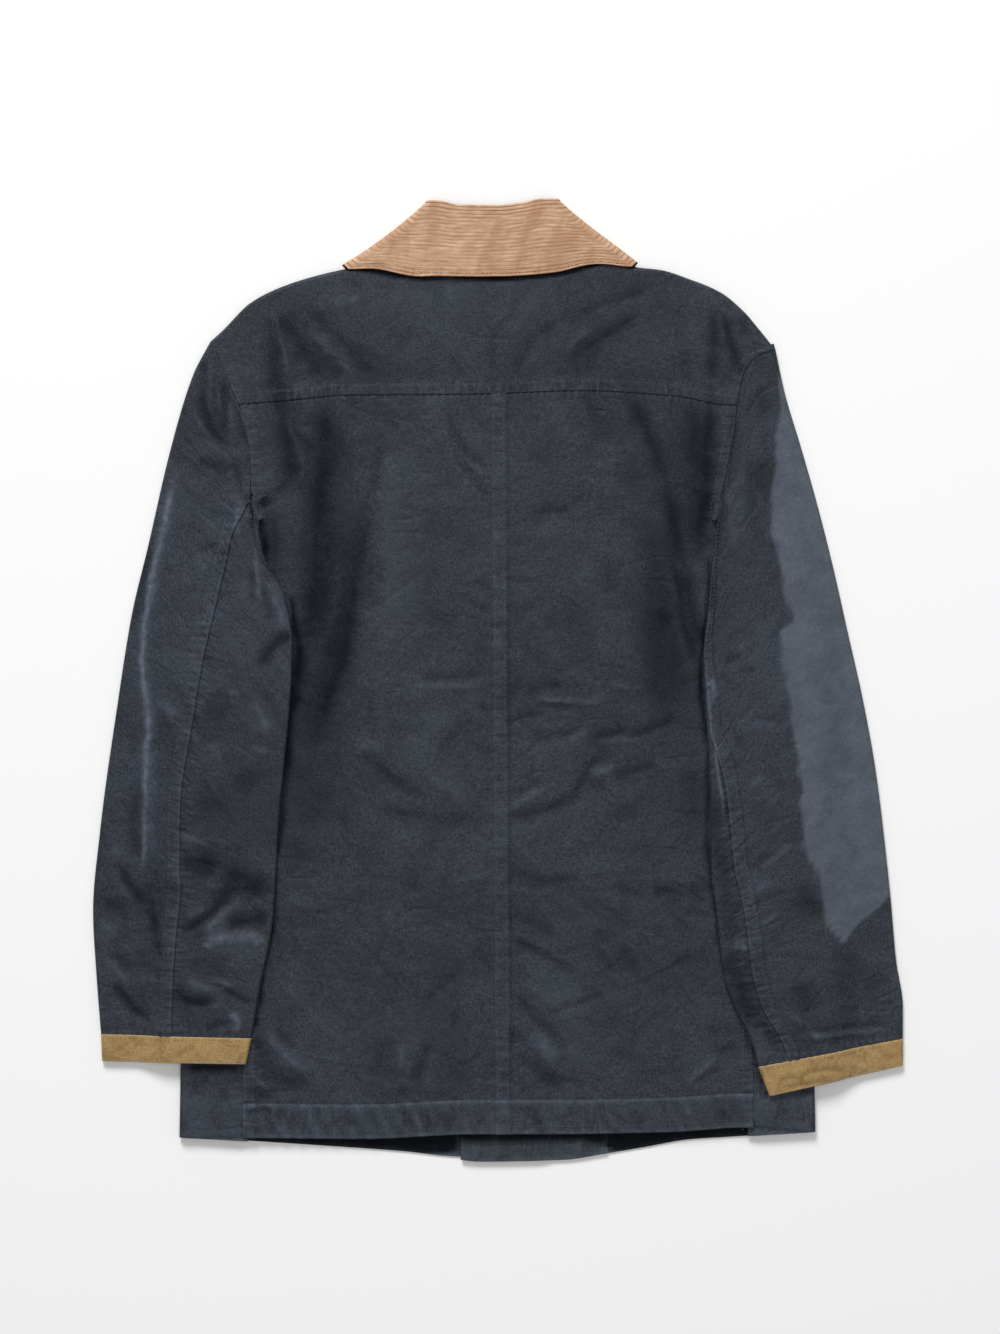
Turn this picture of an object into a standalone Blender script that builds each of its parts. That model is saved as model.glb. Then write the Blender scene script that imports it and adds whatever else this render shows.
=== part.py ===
"""Waxed cotton jacket, laid flat on a surface with its back up.

Lengths are millimetres until MM turns them into metres. +X runs across the
jacket, +Y from the hem to the collar and +Z up from the surface. The wearer's
left is at -X. Each cloth piece is one wall: a grid of points on the garment's
outer side, which Solidify closes towards the inner side.
"""
import bpy
import numpy as np

MM = 0.001

# Cloth and layers
CLOTH = 1.2            # waxed cotton with its turned edges
CORDUROY = 2.0         # collar cloth over its tallest wale
CANVAS = 1.4           # cuff band
SEAM = 0.3             # room between two pieces at a seam
ARMHOLE_ROOM = 1.0     # room between the body and a sleeve head
UNDERARM_ROOM = 2.0    # more of it where the sleeve turns under
LAYER = 0.3            # room between two layers that lie on each other
BODY_HEIGHT = 6.2      # top of the back over the surface
SLEEVE_HEAD = 6.2      # height of a sleeve at the armhole
SLEEVE_HEIGHT = 5.2    # height of a sleeve below it
CUFF_HEIGHT = 5.6
LEDGE = 11.0           # a sleeve runs on level past the body's fold by this much
DRAPE = 32.0           # then it falls to the surface over this reach

# Body
UNDERARM_Y = 140.0     # where the armhole meets the body's side
WRAP_END_Y = 100.0     # the fronts wrap round the side up to here
SIDE_SEAM_X = 222.6    # side seams, on the back
LAP = 32.0             # each front passes the centre by this much
LAP_STEP = (36.0, 48.0)  # the inner front climbs over the outer one between these
FACING_X = 96.0        # inner edge of the facing
SHOULDER_TURN = 25.0   # how far the yoke runs on to the front
NECK_HALF = 80.0       # half the width of the neck opening
UNDERARM_LIFT = 3.3    # the fronts rise here to meet the sleeves
LIFT_REACH = 20.0
CENTRE_SEAM = (0.0, 4.0)  # x of the centre back seam at the yoke and at the hem

# Collar
WALES = 19             # cords across the fall
WALE_DEPTH = 0.45
NECK_RAISE = 2.3       # the fronts lie on the collar's wings
NECK_TOP_RAISE = 2.6   # and lift the yoke over them
NECK_REACH = 172.0     # half the width of the raised stretch, with its slope
NECK_SLOPE = 30.0
COLLAR_TOP = 11.3
STAND_FOLD = ((54.0, 412.0), (72.0, 386.0))  # the stand's side fold, roll and neck seam
STAND_FRONT = 14.0     # depth of the stand at its front ends
WING_END_X = 5.0       # the collar's ends stop this far from the centre

# Outlines: rows of (x, y)
ARMHOLE = {-1: [(-253, 297), (-244, 282), (-235, 258), (-229, 244), (-221, 220), (-217, 187),
                (-217, 151), (-211, 140)],
           1: [(244, 290), (229, 286), (218, 273), (213, 258), (210, 241), (208, 220),
               (204, 199), (200, 178), (193, 140)]}
SIDE_FOLD = {-1: [(-211, 140), (-223, 116), (-249, 84), (-262, 35), (-271, -106), (-277, -238),
                  (-280, -402)],
             1: [(193, 140), (223, 116), (249, 84), (262, 35), (271, -106), (276, -238),
                 (279, -397)]}
SLEEVE_OUTER = {-1: [(-253, 297), (-268, 268), (-287, 206), (-308, 116), (-322, 57), (-334, -18),
                     (-350, -134), (-356, -203), (-353, -260), (-349, -311)],
                1: [(244, 290), (252, 253), (266, 206), (280, 157), (294, 102), (308, 40),
                    (321, -18), (332, -79), (339, -134), (345, -190), (350, -246), (356, -287),
                    (356, -315)]}
SLEEVE_INNER = {-1: [(-211, 140), (-209, 126), (-204, 105), (-187, 74), (-180, 29), (-182, -18),
                     (-187, -71), (-192, -125), (-195, -180), (-198, -217), (-208, -268),
                     (-216, -314)],
                1: [(193, 140), (188, 102), (184, 57), (180, 22), (182, -18), (185, -71),
                    (187, -125), (187, -168), (192, -206), (198, -260), (209, -290),
                    (223, -319), (228, -339)]}
CUFF_END = {-1: [(-348, -335), (-221, -337)], 1: [(356, -339), (238, -365)]}
SHOULDER = [(-253, 297), (-241, 308), (-218, 331), (-196, 343), (-171, 352), (-143, 359),
            (-118, 364), (-88, 377), (-60, 384), (0, 386), (60, 384), (88, 377), (118, 363),
            (143, 360), (169, 352), (195, 341), (216, 324), (228, 310), (244, 290)]
YOKE_SEAM = [(-227, 242), (-178, 246), (-134, 250), (-16, 251), (72, 254), (159, 249),
             (195, 242), (210, 241)]
FRONT_NECK = [(-80, 352), (-60, 340), (-30, 326), (0, 320), (30, 326), (60, 340), (80, 352)]
BACK_HEM = [(-280, -402), (-236, -402), (-121, -403), (-18, -399), (41, -399), (152, -397),
            (216, -393), (279, -397)]
FRONT_HEM = {-1: [(-280, -402), (-241, -404), (-161, -409), (-85, -414.3), (-33, -419.3), (48, -420)],
             1: [(-32, -422), (-16, -423.4), (58, -422), (92, -417), (128, -411), (169, -404),
                 (200, -402), (248, -399), (279, -397)]}
COLLAR_SIDE = {-1: [(-64, 421), (-79, 407), (-93, 395), (-121, 374), (-138, 363)],
               1: [(55, 422.3), (74, 405), (90, 392), (108, 378), (124, 365)]}
COLLAR_EDGE = [(-138, 363), (-117, 361), (-85, 355), (-67, 353), (2, 353), (47, 356), (74, 362),
               (92, 367), (112, 370), (124, 365)]
COLLAR_ROLL = [(-64, 421), (-30, 417), (0, 416.5), (30, 419), (55, 422.3)]
WING_FRONT = {-1: [(-5, 338), (-64, 290)], 1: [(5, 338), (64, 290)]}

# The back seam of each sleeve: share of the sleeve's length, and place round the tube
# (see tube_point)
BACK_ARM_SEAM = {-1: [(0.0, 1.92), (0.1, 1.70), (0.2, 1.62), (0.35, 1.58), (0.5, 1.56),
                      (0.7, 1.50), (0.85, 1.48), (1.0, 1.47)],
                 1: [(0.0, 2.60), (0.25, 2.45), (0.4, 2.0), (0.5, 1.92), (0.65, 1.88),
                     (0.8, 1.84), (1.0, 1.78)]}
FRONT_ARM_SEAM = 4.30
UNDER_ROOM = 0.002     # half the room at the front-arm seam, as a place round the tube

# The largest folds, as soft ridges: where each starts and ends, its width and height
FOLD_COLUMNS = ("x0", "y0", "x1", "y1", "width", "height")
BODY_FOLDS = [
    (-143, 232, -141, 70, 26, 2.6), (-141, 70, -152, -53, 24, 2.2),
    (-86, 229, -99, 35, 24, 2.4), (-99, 35, -128, -70, 24, 2.4),
    (109, 238, 128, 97, 22, 2.8), (128, 97, 158, -9, 24, 2.6),
    (72, 228, 84, 90, 22, 1.6), (84, 90, 122, -30, 22, 1.8),
    (-131, -62, -16, -136, 20, 2.2), (125, -48, 15, -132, 20, 2.4),
    (15, -198, 95, -216, 18, 1.8), (-170, -222, -16, -185, 22, 1.6),
    (-82, -361, -42, -251, 18, 1.6), (15, -304, 55, -352, 14, 1.6),
    (-190, -330, -135, -372, 18, 2.0), (60, 160, -12, 100, 16, 1.2),
]
YOKE_FOLDS = [
    (-183, 324, -134, 266, 18, 2.0), (-160, 330, -108, 266, 16, 1.6),
    (33, 308, 11, 264, 16, 1.4), (125, 317, 68, 266, 18, 1.8),
    (200, 317, 178, 266, 16, 1.8),
]
SLEEVE_FOLDS = {
    -1: [(-297, 140, -310, 74, 11, 2.4), (-310, 74, -313, -36, 11, 2.8),
         (-313, -36, -311, -170, 11, 2.6), (-240, -198, -285, -232, 18, 2.4),
         (-262, 262, -232, 205, 14, 2.2), (-225, 60, -200, 20, 20, 1.8),
         (-330, -282, -290, -300, 12, 1.6), (-225, -262, -265, -292, 14, 1.8)],
    1: [(188, -9, 215, -180, 12, 2.2), (200, 26, 238, 36, 14, 2.0),
        (205, -40, 250, -28, 16, 1.8), (240, 180, 262, 60, 26, 2.0),
        (262, 60, 300, -90, 26, 1.8), (235, -290, 300, -262, 16, 2.0),
        (262, -322, 330, -300, 12, 1.6)],
}

# How finely each piece is divided
BACK_ROWS = 30
BACK_COLUMNS = 13
WRAP_ROWS = 15
FRONT_LEVELS = (-400.0, 136.0, 166.0, 188.0, 197.0, 206.0, 215.0, 224.0, 233.0, 242.0,
                254.0, 272.0)   # rows of a front: the hem, then those above the wrap
SLEEVE_ROWS = 24
COLLAR_COLUMNS = 13
WING_COLUMNS = 4
FACING_COLUMNS = (-LAP, 0.0, LAP_STEP[0], sum(LAP_STEP) / 2, LAP_STEP[1], 72.0, FACING_X)
FULL_TURN = 6.0        # tube_point counts one turn of a sleeve as this much
END_PULL = 8           # how fast the yoke's rows leave its ends' curves


def smoothstep(share):
    """0 below 0, 1 above 1 and a soft S between."""
    share = np.clip(share, 0.0, 1.0)
    return share * share * (3.0 - 2.0 * share)


def soft_slopes(knots, values):
    """Slope at each knot: the harmonic mean of its neighbours', or 0 at a peak."""
    step = np.diff(values, axis=0) / np.diff(knots).reshape((-1,) + (1,) * (values.ndim - 1))
    product = step[1:] * step[:-1]
    total = np.where(product > 0, step[1:] + step[:-1], 1.0)
    inside = np.where(product > 0, 2 * product / total, 0.0)
    return np.concatenate([step[:1], inside, step[-1:]])


def soft_curve(knots, values, at):
    """Cubic curve through the values at the knots, which never overshoots them."""
    knots = np.asarray(knots, float)
    values = np.asarray(values, float)
    at = np.clip(at, knots[0], knots[-1])
    slope = soft_slopes(knots, values)
    left = np.clip(np.searchsorted(knots, at, side="right") - 1, 0, len(knots) - 2)
    span = knots[left + 1] - knots[left]
    t = (at - knots[left]) / span
    if values.ndim > 1:
        t, span = t[..., None], span[..., None]
    return ((1 + 2 * t) * (1 - t) ** 2 * values[left] + t * (1 - t) ** 2 * span * slope[left]
            + t * t * (3 - 2 * t) * values[left + 1] - t * t * (1 - t) * span * slope[left + 1])


def y_at(outline, x):
    """y of an outline whose rows run from -X to +X."""
    rows = np.asarray(outline, float)
    return soft_curve(rows[:, 0], rows[:, 1], np.asarray(x, float))


def x_at(outline, y):
    """x of an outline whose rows run down from the collar."""
    rows = np.asarray(outline, float)[::-1]
    return soft_curve(rows[:, 1], rows[:, 0], np.asarray(y, float))


def along(outline, share):
    """Point of an outline at a share of its length."""
    rows = np.asarray(outline, float)
    steps = np.hypot(*np.diff(rows, axis=0).T)
    knots = np.concatenate([[0.0], np.cumsum(steps)]) / steps.sum()
    return soft_curve(knots, rows, np.asarray(share, float))


def ridges(folds, x, y):
    """Height of the folds: a bell across each line, which fades at both ends."""
    height = np.zeros(np.broadcast(x, y).shape)
    for row in folds:
        fold = dict(zip(FOLD_COLUMNS, row))
        dx, dy = fold["x1"] - fold["x0"], fold["y1"] - fold["y0"]
        share = ((x - fold["x0"]) * dx + (y - fold["y0"]) * dy) / (dx * dx + dy * dy)
        on_line = np.clip(share, 0.0, 1.0)
        away = np.hypot(x - fold["x0"] - on_line * dx, y - fold["y0"] - on_line * dy)
        bell = fold["height"] * np.exp(-(2.0 * away / fold["width"]) ** 2)
        height = np.maximum(height, bell)
    return height


def neck_share(x, y, start_y, rise):
    """1 round the neck, 0 on the rest of the body."""
    return smoothstep((y - start_y) / rise) * smoothstep((NECK_REACH - np.abs(x)) / NECK_SLOPE)


def neck_raise(x, y):
    """Height that the collar's wings add to what lies on them."""
    return NECK_RAISE * neck_share(x, y, 262.0, 24.0)


def side_fold_x(side, y):
    return x_at(SIDE_FOLD[side], y)


def sleeve_cover(x, y):
    """1 where the body is bare and 0 where a sleeve lies on it."""
    reach = np.where(x < 0, -x_at(SLEEVE_INNER[-1], y), x_at(SLEEVE_INNER[1], y))
    below = y < UNDERARM_Y
    return np.where(below, smoothstep((reach - np.abs(x)) / 24.0), 1.0)


def body_top(x, y):
    """Height of the back's and the yoke's outer side."""
    base = BODY_HEIGHT + NECK_TOP_RAISE * neck_share(x, y, 255.0, 30.0)
    edge = smoothstep((np.where(x < 0, -x_at(ARMHOLE[-1], y), x_at(ARMHOLE[1], y))
                       - np.abs(x)) / 20.0)
    free = np.where(y > UNDERARM_Y, edge, 1.0) * sleeve_cover(x, y)
    return base + free * ridges(BODY_FOLDS + YOKE_FOLDS, x, y)


def underarm_lift(x, y):
    """The fronts rise at the underarm to meet the sleeve."""
    lift = 0.0
    for side in (-1, 1):
        corner = ARMHOLE[side][-1]
        away = np.hypot(x - corner[0], y - corner[1])
        lift = lift + UNDERARM_LIFT * np.exp(-0.5 * (away / LIFT_REACH) ** 2)
    return lift


def front_bottom(x, y, side):
    """Height of a front's outer side: on the surface, on the wings or on the other front."""
    height = neck_raise(x, y) + underarm_lift(x, y)
    if side > 0:
        low, high = LAP_STEP
        height = height + (CLOTH + LAYER) * smoothstep((high - x) / (high - low))
    return height


def sleeve_bottom(x, y, side):
    """Height of what a sleeve lies on: the body, then a soft fall to the surface."""
    out = side * (x - side_fold_x(side, y))
    up = y - UNDERARM_Y
    away = np.hypot(np.maximum(out, 0.0), np.maximum(up, 0.0)) - LEDGE
    return (BODY_HEIGHT + LAYER) * smoothstep(1.0 - away / DRAPE)


def material(name, colour, roughness):
    made = bpy.data.materials.new(name)
    made.use_nodes = True
    shader = made.node_tree.nodes["Principled BSDF"]
    shader.inputs["Base Color"].default_value = (*colour, 1.0)
    shader.inputs["Roughness"].default_value = roughness
    shader.inputs["Metallic"].default_value = 0.0
    return made


def grid_faces(rows, columns):
    """Quads of a grid of points, row by row."""
    first = np.arange(rows * columns).reshape(rows, columns)
    return np.stack([first[:-1, :-1], first[:-1, 1:], first[1:, 1:], first[1:, :-1]], axis=-1)


def add_object(name, points, faces, finish):
    mesh = bpy.data.meshes.new(name)
    mesh.from_pydata((points * MM).tolist(), [], faces)
    mesh.materials.append(finish)
    mesh.update()
    mesh.shade_smooth()
    made = bpy.data.objects.new(name, mesh)
    bpy.data.collections[COLLECTION].objects.link(made)
    return made


def cloth(name, points, finish, thickness, keep=None, flip=False, closed=False):
    """One wall of cloth from a grid of points on its outer side."""
    rows, columns = points.shape[:2]
    quads = grid_faces(rows, columns)
    if keep is not None:
        quads = quads[keep]
    quads = quads.reshape(-1, 4)
    if closed:
        seam = quads % columns == columns - 1
        quads = np.where(seam, quads - (columns - 1), quads)
    if flip:
        quads = quads[:, ::-1]
    used, quads = np.unique(quads, return_inverse=True)
    made = add_object(name, points.reshape(-1, 3)[used], quads.reshape(-1, 4).tolist(), finish)
    wall = made.modifiers.new("Wall", "SOLIDIFY")
    wall.thickness = thickness * MM
    wall.offset = -1.0
    wall.use_rim = True
    return made


def ribbed_wall(name, outer, inner, finish):
    """A wall between two grids that share their columns but not their rows."""
    rows, columns = outer.shape[:2]
    inner_rows = inner.shape[0]
    count = rows * columns
    outside = grid_faces(rows, columns).reshape(-1, 4)
    inside = grid_faces(inner_rows, columns).reshape(-1, 4)[:, ::-1] + count
    first = np.arange(columns)
    last_out = (rows - 1) * columns + first
    first_in = count + first
    last_in = count + (inner_rows - 1) * columns + first
    top = np.stack([first[:-1], first_in[:-1], first_in[1:], first[1:]], axis=-1)
    low = np.stack([last_out[1:], last_in[1:], last_in[:-1], last_out[:-1]], axis=-1)
    faces = np.concatenate([outside, inside, top, low])[:, ::-1].tolist()
    start_out = np.arange(rows) * columns
    start_in = count + np.arange(inner_rows) * columns
    faces.append(start_in.tolist() + start_out[::-1].tolist())
    faces.append((start_out + columns - 1).tolist() + (start_in[::-1] + columns - 1).tolist())
    points = np.concatenate([outer.reshape(-1, 3), inner.reshape(-1, 3)])
    return add_object(name, points, faces, finish)


def back_panel(name, side, finish):
    """Half of the back, from the centre seam to the side seam and the armhole."""
    row_share = np.linspace(0.0, 1.0, BACK_ROWS)[:, None]
    column_share = np.linspace(0.0, 1.0, BACK_COLUMNS)[None, :]
    low, high = -400.0, 245.0
    level = low + (high - low) * row_share
    outer = [(side * SIDE_SEAM_X, low), (side * SIDE_SEAM_X, 0), (side * SIDE_SEAM_X, 110)]
    outer += [row for row in ARMHOLE[side][::-1] if row[1] < 260]
    outer = outer[::-1]
    corner = np.exp(-((level - UNDERARM_Y - 9.0) / 14.0) ** 2)
    room = (ARMHOLE_ROOM + UNDERARM_ROOM * corner) * smoothstep((level - 90.0) / 20.0)
    edge = x_at(outer, level) - side * (room + SEAM / 2)
    centre = np.interp(level, (low, high), CENTRE_SEAM[::-1]) + side * SEAM / 2
    x = centre + (edge - centre) * column_share
    y = y_at(BACK_HEM, x) * (1 - row_share) + (y_at(YOKE_SEAM, x) - SEAM / 2) * row_share
    points = np.stack([x, y, body_top(x, y)], axis=-1)
    return cloth(name, points, finish, CLOTH, flip=side < 0)


def cap_angles(count):
    return np.linspace(0.0, np.pi / 2, count + 1)


def front_rows():
    """y of each row of a front at the side seam."""
    wrapped = np.linspace(FRONT_LEVELS[0], WRAP_END_Y, WRAP_ROWS)
    return np.concatenate([wrapped, FRONT_LEVELS[1:]])[:, None]


def front_y(side, x, level, inset):
    """Rows run straight across, bent to the hem below and to the neck and shoulder above."""
    low, high = FRONT_LEVELS[0], FRONT_LEVELS[-1]
    shoulder = y_at(SHOULDER, x) - SHOULDER_TURN - 1.0
    upper = np.where(np.abs(x) < NECK_HALF, y_at(FRONT_NECK, x), shoulder)
    near_hem = 1 - smoothstep((level - low) / 120.0)
    near_top = smoothstep((level - WRAP_END_Y) / (high - WRAP_END_Y))
    return (level + (y_at(FRONT_HEM[side], x) + inset - low) * near_hem
            + (upper - inset - high) * near_top)


def front_panel(name, side, finish):
    """A front: round the side fold from the side seam, then across the surface."""
    level = front_rows()
    bend = BODY_HEIGHT / 2
    fold = side_fold_x(side, np.minimum(level, WRAP_END_Y))
    armhole = [(side * (SIDE_SEAM_X + 1), WRAP_END_Y)]
    armhole += [row for row in ARMHOLE[side][::-1] if row[1] > 120]
    edge = x_at(armhole[::-1], level) - side * (ARMHOLE_ROOM + SEAM / 2)
    turned = level <= WRAP_END_Y
    # across the top, round the fold, then across the surface
    seam_x = side * (SIDE_SEAM_X + SEAM / 2)
    top_x = seam_x + (fold - side * bend - seam_x) * np.array([[0.0, 0.5, 1.0]])
    angle = np.concatenate([cap_angles(3)[1:], np.pi / 2 + cap_angles(3)[1:]])[None, :]
    cap_x = fold - side * bend * (1 - np.sin(angle))
    cap_level = np.cos(angle) + 0 * fold
    start = np.where(turned, fold - side * bend, edge)
    cap_x[:, -1:] = start
    if side > 0:
        fixed = np.array(FACING_COLUMNS[::-1])
    else:
        fixed = np.array([-90.0, -60.0, -30.0, 0.0, LAP])
    first = fixed[0]
    floor_x = start + (first - start) * np.linspace(0, 1, 7)[None, 1:-1]
    floor_x = np.concatenate([floor_x, fixed[None, :] + 0 * start], axis=1)
    x = np.concatenate([top_x + 0 * fold, cap_x, floor_x], axis=1)
    facing_up = np.concatenate([np.ones_like(top_x) + 0 * fold, cap_level,
                                -np.ones_like(floor_x)], axis=1)
    y = front_y(side, x, level, 0.0)
    wrap_columns = top_x.shape[1] + cap_x.shape[1] - 1
    bottom = front_bottom(x, y, side)
    top = body_top(x, y)
    z = bottom + (top - bottom) * (facing_up + 1) / 2
    points = np.stack([x, y, z], axis=-1)
    keep = np.ones((points.shape[0] - 1, points.shape[1] - 1), bool)
    keep[WRAP_ROWS - 1:, :wrap_columns] = False
    return cloth(name, points, finish, CLOTH, keep=keep, flip=side < 0)


def facing_strip(name, finish):
    """The facing, on the inner side of the right front."""
    x = np.array([FACING_COLUMNS])
    y = front_y(1, x, front_rows(), 1.0)
    x = x + 0 * y
    z = front_bottom(x, y, 1) + CLOTH + LAYER
    return cloth(name, np.stack([x, y, z], axis=-1), finish, CLOTH, flip=True)


def yoke_panel(name, finish):
    """The yoke: up the back, over the shoulder folds and a little way down the front."""
    bend = BODY_HEIGHT / 2
    column_share = np.linspace(0.0, 1.0, 25)[None, :]
    top_rows = np.linspace(0.0, 1.0, 7)[:, None]
    end = {-1: along(ARMHOLE[-1][3::-1], top_rows[:, 0]),
           1: along(ARMHOLE[1][4::-1], top_rows[:, 0])}
    left = end[-1][:, :1] + ARMHOLE_ROOM + SEAM
    right = end[1][:, :1] - 2 * ARMHOLE_ROOM
    x = left + (right - left) * column_share
    neck = np.abs(x[-1:]) < NECK_HALF
    crest = y_at(SHOULDER, x)
    upper = crest - np.where(neck, 0.0, bend)
    y = (y_at(YOKE_SEAM, x) + SEAM / 2) * (1 - top_rows) + upper * top_rows
    # the piece's ends follow the armholes
    for side, column in ((-1, 0), (1, -1)):
        beside = np.abs(column_share - (side < 0)) ** END_PULL
        target = end[side][:, 1:] - bend * top_rows
        y = y + (target - y[:, column:][:, :1]) * np.sin(np.pi * top_rows) ** 0.5 * beside
    angle = np.concatenate([cap_angles(3)[1:], np.pi / 2 + cap_angles(3)[1:]])[:, None]
    last_x = x[-1:] + 0 * angle
    cap_y = y_at(SHOULDER, last_x) - bend * (1 - np.sin(angle))
    turn = np.array([[0.5], [1.0]])
    drop = bend + (SHOULDER_TURN - SEAM - bend) * turn
    # and also down the front
    end_y = y_at(SHOULDER, x[-1:, [0, -1]]) - drop
    left = x_at(ARMHOLE[-1], end_y[:, :1]) + ARMHOLE_ROOM
    right = x_at(ARMHOLE[1], end_y[:, 1:]) - ARMHOLE_ROOM
    turn_x = left + (right - left) * column_share
    turn_y = y_at(SHOULDER, turn_x) - drop
    x = np.concatenate([x, last_x, turn_x])
    y = np.concatenate([y, cap_y, turn_y])
    facing_up = np.concatenate([np.ones_like(crest), np.cos(angle) + 0 * last_x,
                                -np.ones_like(turn_x)])
    bottom = neck_raise(x, y)
    top = body_top(x, y)
    z = bottom + (top - bottom) * (facing_up + 1) / 2
    keep = np.ones((x.shape[0] - 1, x.shape[1] - 1), bool)
    open_columns = neck[0, :-1] | neck[0, 1:]
    keep[top_rows.shape[0] - 1:, open_columns] = False
    return cloth(name, np.stack([x, y, z], axis=-1), finish, CLOTH, keep=keep)


def tube_point(place, width, bend):
    """Place round a flat tube: across it in millimetres, and 1 on top to -1 below.

    0 to 1 is the outer fold's upper half, 1 to 2 the top, 2 to 4 the inner fold,
    4 to 5 the underside and 5 to 6 the outer fold's lower half.
    """
    place = np.mod(place, FULL_TURN)
    angle = place * np.pi / 2
    parts = [place < 1, place < 2, place < 4, place < 5]
    flat = width - 2 * bend
    across = np.select(parts, [bend * (1 - np.cos(angle)),
                               bend + (place - 1) * flat,
                               width - bend - bend * np.sin(angle),
                               width - bend - (place - 4) * flat],
                       bend * (1 - np.sin(angle - np.pi / 2)))
    level = np.select(parts, [np.sin(angle), 1.0 + 0 * angle, -np.cos(angle),
                              -1.0 + 0 * angle], -np.cos(angle - np.pi / 2))
    return across, level


def sleeve_grid(side, share, place):
    """Points of a sleeve: share of its length (rows) and place round it (columns)."""
    outer = along(SLEEVE_OUTER[side], share[:, 0])
    inner = along(SLEEVE_INNER[side], share[:, 0])
    height = SLEEVE_HEIGHT + (SLEEVE_HEAD - SLEEVE_HEIGHT) * (1 - smoothstep(share / 0.25))
    width = np.hypot(*(inner - outer).T)[:, None]
    across, level = tube_point(place, width, height / 2)
    part = across / width
    chord = outer[:, None, :] + (inner - outer)[:, None, :] * part[..., None]
    # near the armhole the rings follow its curve
    head = along(ARMHOLE[side], part)
    straight = (np.array(SLEEVE_OUTER[side][0])
                + (np.array(SLEEVE_INNER[side][0]) - SLEEVE_OUTER[side][0]) * part[..., None])
    bow = (head - straight) * (1 - smoothstep(share / 0.4))[..., None]
    x, y = np.moveaxis(chord + bow, -1, 0)
    bottom = sleeve_bottom(x, y, side)
    fade = smoothstep(share / 0.06) * smoothstep((1 - share) / 0.05)
    crease = ridges(SLEEVE_FOLDS[side], x, y) * np.clip(level, 0, 1) * fade
    z = bottom + height * (level + 1) / 2 + crease
    return np.stack([x, y, z], axis=-1)


def arm_seam(side, share):
    table = np.array(BACK_ARM_SEAM[side])
    return soft_curve(table[:, 0], table[:, 1], share)


def moved(place, room):
    """A place on the top or the inner fold, moved round the tube by a room in millimetres."""
    flat_length, fold_length = 130.0, 4.1
    length = np.where(place < 2, (place - 2) * flat_length, (place - 2) * fold_length) + room
    return 2 + np.where(length < 0, length / flat_length, length / fold_length)


def arm_room(place, share):
    """Room at the back-arm seam, wider on the inner fold and at the armhole."""
    return SEAM + 0.5 * smoothstep((place - 1.8) / 0.15) + 2.0 * (1 - smoothstep(share / 0.15))


def under_room(share):
    """Half the room at the front-arm seam, as a place round the tube."""
    return UNDER_ROOM * (1 + 6 * (1 - smoothstep(share / 0.15)))


def sleeve_upper(name, side, finish):
    """The sleeve's outer piece, round the outer fold between the two arm seams."""
    share = sleeve_shares(side)
    start = arm_seam(side, share)
    start = moved(start, -arm_room(start, share))
    end = FRONT_ARM_SEAM + under_room(share) - FULL_TURN
    across = np.linspace(0.0, 1.0, 9)[None, :]
    top = start + (1.0 - start) * across
    bend = np.array([[2 / 3, 1 / 3, 0.0, -1 / 3, -2 / 3, -1.0]]) + 0 * share
    under = -1.0 + (end + 1.0) * np.linspace(0, 1, 7)[None, 1:] + 0 * share
    place = np.concatenate([top, bend, under], axis=1)
    return cloth(name, sleeve_grid(side, share, place), finish, CLOTH, flip=side > 0)


def sleeve_under(name, side, finish):
    """The sleeve's inner piece, round the inner fold between the two arm seams."""
    share = sleeve_shares(side)
    start = arm_seam(side, share)
    start = moved(start, arm_room(start, share))
    end = FRONT_ARM_SEAM - under_room(share)
    round_fold = start + (4.0 - start) * np.linspace(0, 1, 11)[None, :]
    under = 4.0 + (end - 4.0) * np.linspace(0, 1, 3)[None, 1:] + 0 * share
    place = np.concatenate([round_fold, under], axis=1)
    return cloth(name, sleeve_grid(side, share, place), finish, CLOTH, flip=side < 0)


def sleeve_shares(side):
    """Rows of a sleeve, which stop short of the armhole and the cuff by half a seam."""
    return np.linspace(0.0008, 0.9995, SLEEVE_ROWS)[:, None]


def cuff_band(name, side, finish):
    """The cuff: a flat tube below the sleeve."""
    outer = np.array([SLEEVE_OUTER[side][-1], CUFF_END[side][0]], float)
    inner = np.array([SLEEVE_INNER[side][-1], CUFF_END[side][1]], float)
    rows = np.array([0.012, 0.35, 0.7, 1.0])[:, None, None]
    outer = outer[0] + (outer[1] - outer[0]) * rows
    inner = inner[0] + (inner[1] - inner[0]) * rows
    width = np.hypot(*np.moveaxis(inner - outer, -1, 0))
    place = np.concatenate([np.linspace(0, 1, 4)[:-1], np.linspace(1, 2, 6)[:-1],
                            np.linspace(2, 4, 7)[:-1], np.linspace(4, 5, 6)[:-1],
                            np.linspace(5, 6, 4)])[None, :]
    across, level = tube_point(place, width, CUFF_HEIGHT / 2)
    points = outer + (inner - outer) * (across / width)[..., None]
    x, y = np.moveaxis(points, -1, 0)
    z = sleeve_bottom(x, y, side) + CUFF_HEIGHT * (level + 1) / 2
    return cloth(name, np.stack([x, y, z], axis=-1), finish, CANVAS, flip=side < 0, closed=True)


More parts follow.
